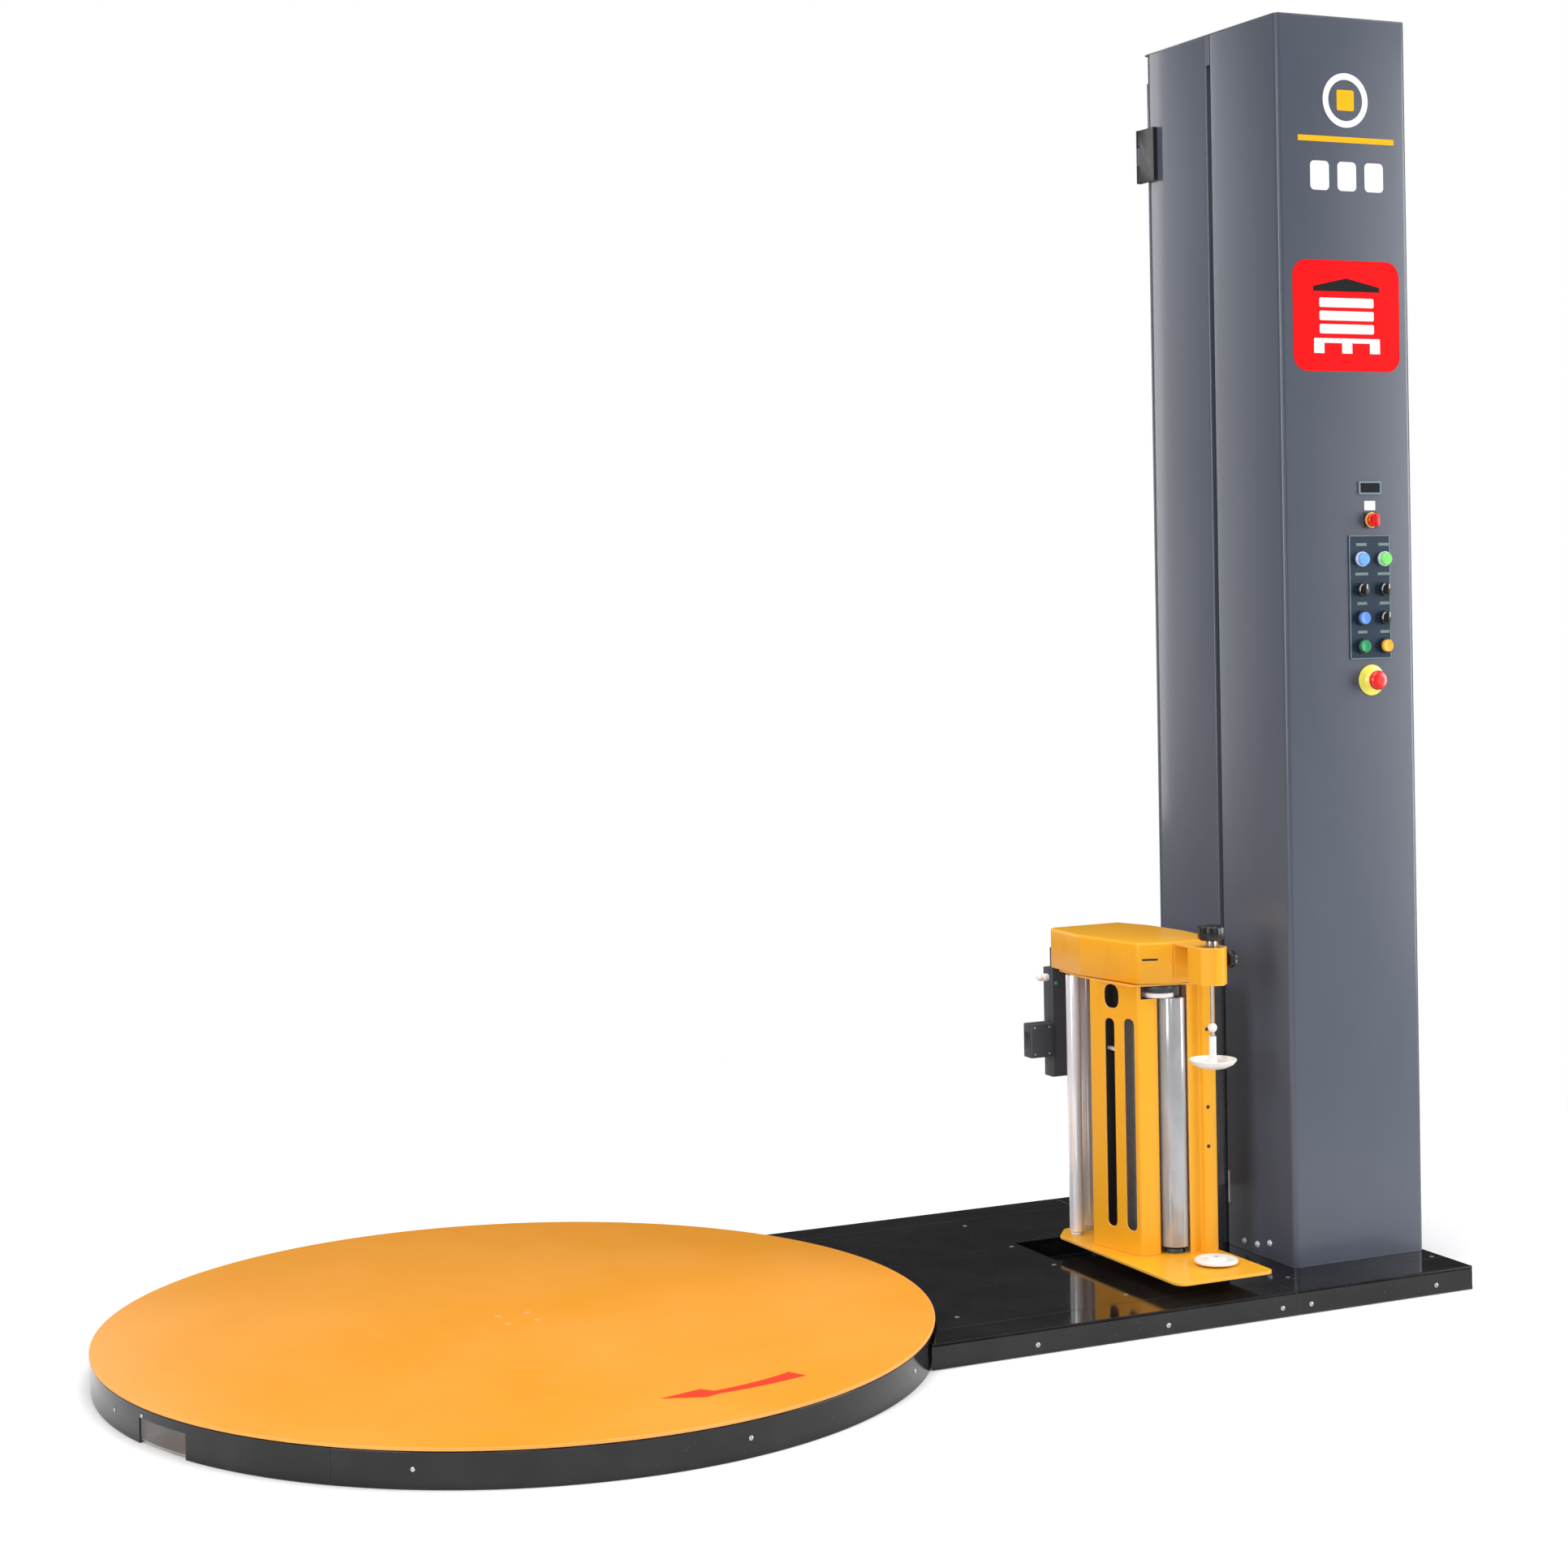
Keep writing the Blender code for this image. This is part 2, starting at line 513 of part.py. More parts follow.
def make_lift():
    """Guide column, chain, sprockets and gearmotor that raise the film carriage."""
    low = DECK_TOP + GAP
    corners = [GUIDE_LOW, (GUIDE_HIGH[0], GUIDE_LOW[1]), GUIDE_HIGH, (GUIDE_LOW[0], GUIDE_HIGH[1])]
    wall = 0.004
    hollow = [(GUIDE_LOW[0] + wall, GUIDE_LOW[1] + wall), (GUIDE_HIGH[0] - wall, GUIDE_LOW[1] + wall),
              (GUIDE_HIGH[0] - wall, GUIDE_HIGH[1] - wall), (GUIDE_LOW[0] + wall, GUIDE_HIGH[1] - wall)]
    add_part("guide_column", ring_prism(corners, hollow, low, MAST_TOP - 0.040), "steel")
    flat = Matrix.Rotation(math.pi / 2, 4, "X")
    teeth = toothed(LIFT_WHEEL_TEETH, LIFT_WHEEL_RADIUS, TOOTH_HALF_HEIGHT)
    bore = round_outline(SHAFT_BORE, LIFT_WHEEL_TEETH * 2)
    for name, level in zip(("lift_sprocket_bottom", "lift_sprocket_top"), LIFT_WHEEL_LEVELS):
        wheel = ring_prism(teeth, bore, -LIFT_WHEEL_WIDTH, 0.0)
        centre = (LIFT_WHEEL_X, LIFT_WHEEL_Y, level)
        add_part(name, moved(wheel, Matrix.Translation(centre) @ flat), "steel", centre)
    rise = (0, LIFT_WHEEL_LEVELS[1] - LIFT_WHEEL_LEVELS[0])
    inner, outer = [belt_loop((0, 0), LIFT_WHEEL_RADIUS + TOOTH_HALF_HEIGHT + clear, rise,
                              LIFT_WHEEL_RADIUS + TOOTH_HALF_HEIGHT + clear, 14) for clear in (0.001, 0.006)]
    loop = ring_prism(outer, inner, -LIFT_WHEEL_WIDTH + 0.001, -0.001)
    base = Matrix.Translation((LIFT_WHEEL_X, LIFT_WHEEL_Y, LIFT_WHEEL_LEVELS[0]))
    add_part("lift_chain", moved(loop, base @ flat), "steel")
    top = LIFT_WHEEL_LEVELS[1]
    behind = LIFT_WHEEL_Y + LIFT_WHEEL_WIDTH + 0.006
    case = box((LIFT_WHEEL_X - 0.050, behind, top - 0.055),
               (LIFT_WHEEL_X + 0.050, behind + 0.090, top + 0.055))
    motor = add_part("lift_gearmotor", case, "motor_grey")
    pointing_back = Matrix.Rotation(-math.pi / 2, 4, "X")
    shaft = moved(rod(0.008, 0.0, 0.040, 16),
                  Matrix.Translation((LIFT_WHEEL_X, LIFT_WHEEL_Y - 0.004, top)) @ pointing_back)
    body = moved(rod(0.042, top - 0.290, top - 0.050, 20, 0.004),
                 Matrix.Translation((LIFT_WHEEL_X, behind + 0.046, 0)))
    join(motor, shaft, body)


# ---- Controls on the front of the mast --------------------------------------------------------
def make_control_panel():
    face = MAST_LOW[1] - GAP
    plate = add_part("control_plate", box((PANEL_LOW[0], face - PANEL_SHEET, PANEL_LOW[1]),
                                          (PANEL_HIGH[0], face, PANEL_HIGH[1])), "panel_blue")
    surface = face - PANEL_SHEET
    bore = BUTTON_RADIUS + 0.0006
    bezel = [(bore, -0.001), (bore + 0.0024, -0.001), (bore + 0.0020, BEZEL_HEIGHT), (bore, BEZEL_HEIGHT),
             (bore, -0.001)]
    buttons = (("start_button", 0, 0, "lens_blue"), ("lamp_button", 1, 0, "lens_green"),
               ("pause_button", 0, 2, "button_blue"), ("cycle_button", 0, 3, "button_green"),
               ("reset_button", 1, 3, "button_amber"))
    for name, column, row, finish in buttons:
        x, z = CONTROL_COLUMNS[column], CONTROL_ROWS[row]
        join(plate, moved(turned(bezel, 16), facing_front(x, surface, z)))
        cap = [(0.0, 0.004), (BUTTON_RADIUS, 0.004), (BUTTON_RADIUS, 0.0120),
               (BUTTON_RADIUS - 0.002, 0.0140), (0.0, 0.0145)]
        add_part(name, moved(turned(cap, 16), facing_front(x, surface, z)), finish, (x, surface, z))
    knobs = (("speed_knob", 0, 1), ("tension_knob", 1, 1), ("mode_knob", 1, 2))
    for name, column, row in knobs:
        x, z = CONTROL_COLUMNS[column], CONTROL_ROWS[row]
        base = [(0.0, GAP), (KNOB_RADIUS, GAP), (KNOB_RADIUS, 0.008), (KNOB_RADIUS - 0.002, 0.010),
                (0.0, 0.010)]
        knob = add_part(name, moved(turned(base, 16), facing_front(x, surface, z)), "black_plastic",
                        (x, surface, z))
        grip = box((-0.004, -0.012, 0.006), (0.004, 0.0125, 0.019))
        join(knob, moved(grip, facing_front(x, surface, z)))


def make_switches():
    """The main switch's handle, and the emergency stop with its round plate."""
    face = MAST_LOW[1] - GAP
    x, z = SWITCH_CENTRE
    dial = [(0.0, 0.004), (0.0150, 0.004), (0.0150, 0.012), (0.0135, 0.014), (0.0, 0.014)]
    handle = add_part("main_switch_handle", moved(turned(dial, 20), facing_front(x, face, z)), "signal_red",
                      (x, face, z))
    join(handle, moved(box((-0.0045, -0.0140, 0.010), (0.0045, 0.0140, 0.026)), facing_front(x, face, z)))
    x, z = STOP_CENTRE
    plate = [(0.0, 0.0), (STOP_PLATE_RADIUS, 0.0), (STOP_PLATE_RADIUS, 0.0025), (0.019, 0.0060),
             (0.014, 0.0120), (0.0125, 0.0120), (0.0125, 0.0030), (0.0, 0.0030)]
    add_part("stop_collar", moved(turned(plate, 24), facing_front(x, face, z)), "signal_yellow")
    mushroom = [(0.0, 0.0100), (0.0110, 0.0100), (0.0110, 0.0190), (STOP_BUTTON_RADIUS - 0.002, 0.0190),
                (STOP_BUTTON_RADIUS, 0.0210), (STOP_BUTTON_RADIUS, 0.0260), (0.0185, 0.0300),
                (0.0120, 0.0325), (0.0, 0.0335)]
    head = moved(turned(mushroom, 20), facing_front(x, face, z))
    add_part("stop_button", head, "signal_red", (x, face, z))


# ---- Film carriage ----------------------------------------------------------------------------
def make_carriage_frame():
    """Bottom plate, slotted side panel, column with the top plate, hood, and the trolley in the mast."""
    low = CARRIAGE_FLOOR - CARRIAGE_FLOOR_SHEET
    floor = [(1.256, -0.445), (1.490, -0.445), (1.490, 0.085), (1.300, 0.085), (1.256, 0.030)]
    add_part("carriage_floor", prism(rounded(floor, 0.022), low, CARRIAGE_FLOOR), "carriage_yellow")
    stand = CARRIAGE_FLOOR + GAP
    head = HOOD_LOW - 0.014
    path = [(1.2962, -0.0636), PANEL_FOLD_BACK, PANEL_FOLD_FRONT, (1.361, -0.215), (1.361, -0.186)]
    panel = prism(bent_sheet(path, SHEET, 0.004), stand, head - GAP)
    panel = add_part("carriage_side_panel", panel, "carriage_yellow")
    cut(panel, box((PANEL_FOLD_FRONT[0] + 0.008, -0.300, PANEL_FLANGE_TOP), (1.400, -0.170, head + 0.010)))
    across = Vector((*PANEL_FOLD_FRONT, 0)) - Vector((*PANEL_FOLD_BACK, 0))
    lean = math.atan2(across.x, -across.y)
    slots = ((0.459, 0.044, 0.600, 0.651), (0.414, 0.029, 0.135, 0.578), (0.815, 0.031, 0.135, 0.583))
    for middle, width, bottom, top in slots:
        hole = rounded([(-width / 2, bottom), (width / 2, bottom), (width / 2, top), (-width / 2, top)],
                       width * 0.42)
        centre = Vector((*PANEL_FOLD_BACK, 0)) + middle * across
        place = Matrix.Translation(centre) @ Matrix.Rotation(lean - math.pi / 2, 4, "Z")
        tool = moved(prism(hole, -0.010, 0.010), place @ Matrix.Rotation(math.pi / 2, 4, "X"))
        cut(panel, tool)
    column = COLUMN_X - 0.033
    path = [(1.4205, -0.236), (column, -0.236), (column, -0.250), (COLUMN_X, -0.250), (COLUMN_X, 0.075)]
    frame = prism(bent_sheet(path, SHEET, 0.004), stand, head)
    frame = add_part("carriage_frame", frame, "carriage_yellow")
    side = COLUMN_X - 0.0005
    top_plate = rounded([(1.296, -0.212), (side, -0.2495), (side, 0.078), (1.292, 0.078), (1.281, -0.030)],
                        0.006)
    join(frame, prism(top_plate, head - 0.0001, head + 0.004))
    holes = [moved(rod(JOURNAL_RADIUS + 0.0015, head - 0.05, head + 0.05, 20), Matrix.Translation((x, y, 0)))
             for x, y in (*RUBBER_ROLLER_AXES, *IDLER_AXES)]
    cut(frame, *holes)


def make_hood():
    """The cover over the roller drive: a tray with its open side down."""
    outline = [(1.3100, -0.2190), (1.3800, -0.2440), (1.5000, -0.2430), (1.5120, -0.0870), (1.4980, 0.0300),
               (1.4660, 0.1120), (1.2870, 0.1080), (1.2770, -0.0380)]
    middle = Vector((1.40, -0.055))
    inside = [tuple(Vector(point) + (middle - Vector(point)).normalized() * 0.0045) for point in outline]
    start = HOOD_LOW - 0.0080
    hood = add_part("carriage_hood", prism(rounded(outline, 0.012), start, HOOD_TOP), "carriage_yellow")
    cut(hood, prism(rounded(inside, 0.009), start - 0.010, HOOD_TOP - SHEET))


def make_trolley():
    """The slide that runs on the guide column, and its arm through the mast's slot."""
    start = COLUMN_X + GAP
    arm = box((start, SLOT_Y - 0.004, 0.180), (1.700, SLOT_Y + 0.004, 0.620))
    arm = add_part("carriage_trolley", arm, "steel")
    plate_x = GUIDE_LOW[0] - 0.004
    low, high = 0.170, 0.640
    cheek_gap = 0.003
    cheeks = [box((plate_x - 0.010, GUIDE_LOW[1] - cheek_gap - 0.012, low),
                  (GUIDE_LOW[0] + 0.045, GUIDE_LOW[1] - cheek_gap, high)),
              box((plate_x - 0.010, GUIDE_HIGH[1] + cheek_gap, low),
                  (GUIDE_LOW[0] + 0.045, GUIDE_HIGH[1] + cheek_gap + 0.012, high))]
    bar = box((1.696, GUIDE_LOW[1] - 0.014, low - 0.001), (plate_x, GUIDE_HIGH[1] + 0.014, high + 0.001))
    chain_x = LIFT_WHEEL_X - LIFT_WHEEL_RADIUS - TOOTH_HALF_HEIGHT - 0.006
    clip = box((chain_x - 0.014, SLOT_Y + 0.040, 0.380), (chain_x - 0.001, LIFT_WHEEL_Y + 0.010, 0.440))
    foot = box((chain_x - 0.014, SLOT_Y + 0.034, 0.380), (1.700, SLOT_Y + 0.050, 0.440))
    flange = box((start, SLOT_Y - 0.040, 0.185), (start + 0.006, SLOT_Y + 0.040, 0.615))
    join(arm, bar, *cheeks, foot, clip, flange)


def make_rollers():
    """Two rubber pre-stretch rollers and two chrome idlers, each with journals at both ends."""
    foot = CARRIAGE_FLOOR + 0.001
    low, high = RUBBER_ROLLER_SPAN
    outer = RUBBER_ROLLER_RADIUS
    top = HOOD_LOW + 0.030
    for name, (x, y) in zip(("stretch_roller_front", "stretch_roller_back"), RUBBER_ROLLER_AXES):
        profile = [(0.0, foot), (JOURNAL_RADIUS, foot), (JOURNAL_RADIUS, low), (outer - 0.0015, low),
                   (outer, low + 0.0015), (outer, high - 0.0015), (outer - 0.0015, high),
                   (JOURNAL_RADIUS, high), (JOURNAL_RADIUS, top), (0.0, top)]
        roller = moved(turned(profile, 28), Matrix.Translation((x, y, 0)))
        add_part(name, roller, "grey_rubber", (x, y, low))
    low, high = IDLER_SPAN
    outer = IDLER_RADIUS
    top = HOOD_LOW + 0.010
    for name, (x, y) in zip(("idler_roller_front", "idler_roller_back"), IDLER_AXES):
        profile = [(0.0, foot), (IDLER_JOURNAL_RADIUS, foot), (IDLER_JOURNAL_RADIUS, low), (outer, low),
                   (outer, high), (IDLER_JOURNAL_RADIUS, high), (IDLER_JOURNAL_RADIUS, top), (0.0, top)]
        roller = moved(turned(profile, 20), Matrix.Translation((x, y, 0)))
        add_part(name, roller, "chrome", (x, y, low))


def make_film_holder():
    """The turning disc under the film roll, and the cone on its rod that holds the roll from above."""
    x, y = FILM_AXIS
    here = Matrix.Translation((x, y, 0))
    base = CARRIAGE_FLOOR + 0.002
    disc = [(0.0, base), (0.030, base), (FILM_DISC_RADIUS, base + 0.003), (FILM_DISC_RADIUS, base + 0.008),
            (FILM_DISC_RADIUS - 0.003, base + 0.010), (0.022, base + 0.010), (0.018, base + 0.014),
            (0.0, base + 0.014)]
    add_part("film_disc", moved(turned(disc, 28), here), "white_nylon", (x, y, base))
    bore = ROD_RADIUS + 0.001
    cone = [(bore, CONE_LOW), (0.012, CONE_LOW), (0.034, CONE_LOW + 0.006), (0.047, CONE_LOW + 0.014),
            (0.050, CONE_LOW + 0.020), (0.048, CONE_LOW + 0.023), (0.014, CONE_LOW + 0.024),
            (0.0075, CONE_TOP + 0.004), (0.0075, CONE_TOP + 0.040), (bore, CONE_TOP + 0.040),
            (bore, CONE_LOW)]
    add_part("film_cone", moved(turned(cone, 24), here), "white_nylon", (x, y, CONE_LOW))
    ball = CONE_TOP + 0.0575
    profile = [(0.0, CONE_LOW + 0.002), (ROD_RADIUS, CONE_LOW + 0.002), (ROD_RADIUS, ball - 0.0088)]
    profile += [(0.0097 * math.cos(math.radians(angle)), ball + 0.0097 * math.sin(math.radians(angle)))
                for angle in (-60, -25, 10, 45, 66)]
    seat = HOOD_TOP - 0.001 + GAP
    grip = HOOD_TOP + 0.012
    profile += [(ROD_RADIUS, ball + 0.0105), (ROD_RADIUS, seat), (0.012, seat), (0.012, grip),
                (0.026, grip + 0.002), (0.028, grip + 0.006), (0.028, grip + 0.026), (0.024, grip + 0.031),
                (0.0, grip + 0.033)]
    add_part("film_rod", moved(turned(profile, 16), here), "steel", (x, y, ball))
    half = ARM_HALF_WIDTH
    reach = [(x - half, y - 0.010), (x - 0.010, y - half), (x + 0.010, y - half), (x + half, y - 0.010),
             (x + half, -0.2445), (x - half, -0.2445)]
    arm = prism(rounded(reach, 0.004, 2), HOOD_LOW, HOOD_TOP - 0.001)
    arm = add_part("film_arm", arm, "carriage_yellow")
    cut(arm, moved(rod(ROD_RADIUS + 0.0008, HOOD_LOW - 0.02, HOOD_TOP + 0.02, 24), here),
        box((x - 0.060, -0.300, HOOD_LOW - 0.010), (x + 0.029, -0.2475, HOOD_TOP - 0.006)))
    knob = [(0.0, GAP), (0.007, GAP), (0.007, 0.006), (0.017, 0.008), (0.018, 0.010), (0.018, 0.022),
            (0.016, 0.024), (0.0, 0.025)]
    centre = (x + half, y, HOOD_TOP - 0.030)
    sideways = Matrix.Translation(centre) @ Matrix.Rotation(math.pi / 2, 4, "Y")
    add_part("clamp_knob", moved(turned(knob, 18), sideways), "black_plastic", centre)


def make_sensor():
    """The load sensor on its bracket behind the hood."""
    corners = [(1.293, 0.1125), (1.340, 0.1125), (1.340, 0.1500), (1.293, 0.1500)]
    bracket = add_part("sensor_bracket", prism(rounded(corners, 0.004, 2), 0.415, 0.655), "slate_plastic")
    join(bracket, box((1.300, 0.1125, 0.640), (1.330, 0.1300, 0.700)))
    corners = [(1.235, 0.1040), (1.2927, 0.1040), (1.2927, 0.1400), (1.235, 0.1400)]
    add_part("photocell", prism(rounded(corners, 0.004, 2), 0.462, 0.536), "slate_plastic")


def main():
    clear_scene()
    make_turntable()
    make_floor_plate()
    make_support_rollers()
    make_table_drive()
    make_skirt()
    make_deck()
    make_mast_shells()
    make_rear_door()
    make_lift()
    make_control_panel()
    make_switches()
    make_carriage_frame()
    make_hood()
    make_trolley()
    make_rollers()
    make_film_holder()
    make_sensor()


main()
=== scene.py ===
"""Finished surfaces of a turntable pallet wrapper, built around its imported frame.

Everything is in metres, with +Z up and the origin on the floor under the middle of the turntable.
+X runs from the turntable to the mast, and the operator stands on the -Y side.
"""

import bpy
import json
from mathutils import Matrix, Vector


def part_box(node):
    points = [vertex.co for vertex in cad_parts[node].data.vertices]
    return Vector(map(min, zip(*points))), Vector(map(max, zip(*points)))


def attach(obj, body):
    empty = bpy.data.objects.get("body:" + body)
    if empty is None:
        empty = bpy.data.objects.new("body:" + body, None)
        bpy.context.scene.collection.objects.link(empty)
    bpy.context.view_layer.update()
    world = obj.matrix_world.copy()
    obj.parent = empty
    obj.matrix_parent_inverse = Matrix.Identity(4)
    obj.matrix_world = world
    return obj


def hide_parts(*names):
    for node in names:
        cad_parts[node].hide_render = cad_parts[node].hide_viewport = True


bl_info = {
    "name": "Turntable pallet wrapper",
    "version": (1, 0, 0),
    "blender": (4, 5, 0),
    "location": "3D View > Sidebar > Wrapper",
    "description": "Builds the finished surfaces of a turntable pallet wrapper on its frame",
    "category": "Object",
}

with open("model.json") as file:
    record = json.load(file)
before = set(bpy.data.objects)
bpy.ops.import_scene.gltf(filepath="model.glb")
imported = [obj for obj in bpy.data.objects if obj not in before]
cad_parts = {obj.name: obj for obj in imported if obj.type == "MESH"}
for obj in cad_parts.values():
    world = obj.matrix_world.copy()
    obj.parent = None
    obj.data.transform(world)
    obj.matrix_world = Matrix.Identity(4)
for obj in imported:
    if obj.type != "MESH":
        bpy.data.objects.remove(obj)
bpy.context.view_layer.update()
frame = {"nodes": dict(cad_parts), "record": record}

import json
import math

import bmesh
import bpy
from bpy.props import FloatProperty, FloatVectorProperty, IntProperty, PointerProperty
from mathutils import Matrix, Vector

SLOT_OF_NODE = {part["node"]: part["material_slot"] for part in frame["record"]["subparts"]}
BODY_OF_NODE = {node: body for body,
                nodes in frame["record"]["behaviour"]["bodies"].items() for node in nodes}
FRONT_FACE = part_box("mast_front_shell")[0].y


# ---- Settings a user would change -------------------------------------------------------------
def colour_property(name, description, default):
    return FloatVectorProperty(name=name, description=description, default=default, size=3, min=0.0, max=1.0,
                               subtype="COLOR")


class WrapperColours(bpy.types.PropertyGroup):
    """Base colours of the finishes."""

    table_yellow: colour_property("Table enamel", "Colour of the turntable", (0.78, 0.308, 0.019))
    carriage_yellow: colour_property("Carriage powder coat", "Colour of the film carriage",
                                     (0.86, 0.400, 0.015))
    black_gloss: colour_property("Deck paint", "Colour of the deck and the rim", (0.005, 0.005, 0.006))
    mast_grey: colour_property("Mast powder coat", "Colour of the mast", (0.082, 0.095, 0.130))
    steel: colour_property("Steel", "Colour of bare steel", (0.55, 0.55, 0.56))
    # The chrome tint is pale and is shown mostly as diffuse colour, so it is partly a painted reflection.
    chrome: colour_property("Chrome", "Colour of polished chrome", (0.84, 0.86, 0.93))
    grey_rubber: colour_property("Roller rubber", "Colour of the stretch rollers", (0.33, 0.35, 0.38))
    white_nylon: colour_property("Nylon", "Colour of the nylon parts", (0.82, 0.82, 0.80))
    black_plastic: colour_property("Black plastic", "Colour of knobs and hinges", (0.012, 0.012, 0.014))
    slate_plastic: colour_property("Sensor plastic", "Colour of the load sensor", (0.045, 0.05, 0.062))
    panel_blue: colour_property("Panel film", "Colour of the control plate", (0.010, 0.030, 0.058))
    motor_grey: colour_property("Motor paint", "Colour of the gearmotors", (0.20, 0.22, 0.25))
    signal_red: colour_property("Signal red", "Colour of the stop button and the main switch",
                                (0.78, 0.02, 0.015))
    signal_yellow: colour_property("Signal yellow", "Colour behind the stop button", (0.86, 0.80, 0.12))
    button_blue: colour_property("Blue button", "Colour of the pause button", (0.11, 0.28, 0.75))
    button_green: colour_property("Green button", "Colour of the cycle button", (0.02, 0.30, 0.12))
    button_amber: colour_property("Amber button", "Colour of the reset button", (0.95, 0.42, 0.03))
    lens_blue: colour_property("Blue lamp", "Colour of the lit start button", (0.12, 0.32, 0.90))
    lens_green: colour_property("Green lamp", "Colour of the lit lamp button", (0.16, 0.62, 0.12))


class WrapperSizes(bpy.types.PropertyGroup):
    """Small radii and step counts of the finished surfaces."""

    sheet_edge: FloatProperty(name="Sheet edge", description="Rounding of a folded sheet's edges",
                              default=0.0008, min=0.0001, unit="LENGTH")
    plate_edge: FloatProperty(name="Plate edge", description="Rounding of a thick plate's edges",
                              default=0.0014, min=0.0001, unit="LENGTH")
    hood_edge: FloatProperty(name="Hood edge", description="Rounding of the hood's top edge",
                             default=0.0060, min=0.0001, unit="LENGTH")
    screw_head: FloatProperty(name="Screw head", description="Radius of the deck's screw heads",
                              default=0.0055, min=0.001, unit="LENGTH")
    chain_pitch: FloatProperty(name="Chain pitch", description="Distance between the chain's pins",
                               default=0.0127, min=0.005, unit="LENGTH")
    round_steps: IntProperty(name="Round steps", description="Facets around a small turned piece",
                             default=72, min=12)
    rim_steps: IntProperty(name="Rim steps", description="Facets around the turntable", default=288, min=48)


class WrapperStage(bpy.types.PropertyGroup):
    """Camera and light."""

    camera_place: FloatVectorProperty(name="Camera", description="Place of the camera",
                                      default=(-1.8002, -5.2232, 1.5238), unit="LENGTH")
    yaw: FloatProperty(name="Yaw", description="Heading of the camera from +X", default=math.radians(65.4235),
                       unit="ROTATION")
    pitch: FloatProperty(name="Pitch", description="Rise of the camera's view", default=math.radians(-0.4882),
                         unit="ROTATION")
    roll: FloatProperty(name="Roll", description="Roll of the camera", default=math.radians(-1.0138),
                        unit="ROTATION")
    lens: FloatProperty(name="Lens", description="Focal length on a 36 mm sensor", default=63.92,
                        unit="CAMERA")
    sky: FloatProperty(name="Sky", description="Strength of the light from all round", default=0.55, min=0.0)


def colours():
    return bpy.context.scene.wrapper_colours


def sizes():
    return bpy.context.scene.wrapper_sizes


# ---- Shader nodes -----------------------------------------------------------------------------
class Value:
    """A node's output socket. Arithmetic on it adds Math nodes to its tree."""

    def __init__(self, nodes, socket):
        self.nodes = nodes
        self.socket = socket

    def math(self, operation, first, second):
        return self.nodes.node("ShaderNodeMath", {"operation": operation}, {0: first, 1: second})

    def __add__(self, other):
        return self.math("ADD", self, other)

    def __sub__(self, other):
        return self.math("SUBTRACT", self, other)

    def __rsub__(self, other):
        return self.math("SUBTRACT", other, self)

    def __mul__(self, other):
        return self.math("MULTIPLY", self, other)

    __radd__ = __add__
    __rmul__ = __mul__


class Nodes:
    """A node tree, and the methods that add to it."""

    def __init__(self, tree):
        self.tree = tree

    def node(self, kind, settings, inputs, output=0):
        """Add a node: its settings first, then the values or links of its sockets."""
        made = self.tree.nodes.new(kind)
        for name, value in settings.items():
            if name == "stops":
                self.set_stops(made.color_ramp, value)
            else:
                setattr(made, name, value)
        for name, value in inputs.items():
            self.feed(made.inputs[name], value)
        return Value(self, made.outputs[output])

    def feed(self, socket, value):
        if isinstance(value, Value):
            self.tree.links.new(value.socket, socket)
        elif socket.type == "RGBA" and len(value) == 3:
            socket.default_value = (*value, 1.0)
        else:
            socket.default_value = value

    def set_stops(self, ramp, stops):
        while len(ramp.elements) < len(stops):
            ramp.elements.new(1.0)
        for element, (place, grey) in zip(ramp.elements, stops):
            element.position = place
            element.color = (grey, grey, grey, 1.0)

    def place(self, stretch=(1.0, 1.0, 1.0)):
        """Where a point is in the frame, in metres, stretched along the axes."""
        here = self.node("ShaderNodeTexCoord", {}, {}, "Object")
        return self.node("ShaderNodeVectorMath", {"operation": "MULTIPLY"}, {0: here, 1: stretch})

    def noise(self, size, detail=3.0, roughness=0.55, stretch=(1.0, 1.0, 1.0)):
        """Cloudy noise from 0 to 1 whose blobs are about size across, in metres."""
        return self.node("ShaderNodeTexNoise", {}, {"Vector": self.place(stretch), "Scale": 1.0 / size,
                                                    "Detail": detail, "Roughness": roughness}, "Fac")

    def cells(self, size, stretch=(1.0, 1.0, 1.0)):
        """Distance to the nearest of many scattered points, in cells of a size in metres."""
        return self.node("ShaderNodeTexVoronoi", {}, {"Vector": self.place(stretch), "Scale": 1.0 / size},
                         "Distance")

    def ramp(self, value, low, high):
        """0 below low and 1 above high. It falls where high is the smaller."""
        stops = [(low, 0.0), (high, 1.0)] if low < high else [(high, 1.0), (low, 0.0)]
        return self.node("ShaderNodeValToRGB", {"stops": stops}, {"Fac": value}, "Color")

    def mix(self, factor, first, second):
        """From one colour to another."""
        return self.node("ShaderNodeMix", {"data_type": "RGBA"},
                         {"Factor": factor, 6: first, 7: second}, 2)

    def edges(self, radius):
        """1 on sharp outer and inner edges, falling to 0 over a radius in metres."""
        soft = self.node("ShaderNodeBevel", {"samples": 4}, {"Radius": radius})
        true = self.node("ShaderNodeNewGeometry", {}, {}, "Normal")
        same = self.node("ShaderNodeVectorMath", {"operation": "DOT_PRODUCT"}, {0: soft, 1: true}, "Value")
        return self.ramp(same, 0.995, 0.93)

    def bump(self, height, strength, distance):
        return self.node("ShaderNodeBump", {}, {"Height": height, "Strength": strength, "Distance": distance})


class Finish(Nodes):
    """A material with one Principled shader."""

    def __init__(self, name, **constants):
        self.material = bpy.data.materials.new(f"{name}_finish")
        self.material.use_nodes = True
        super().__init__(self.material.node_tree)
        self.shader = self.tree.nodes["Principled BSDF"]
        for socket, value in constants.items():
            self.set(socket.replace("_", " "), value)

    def set(self, socket, value):
        self.feed(self.shader.inputs[socket], value)


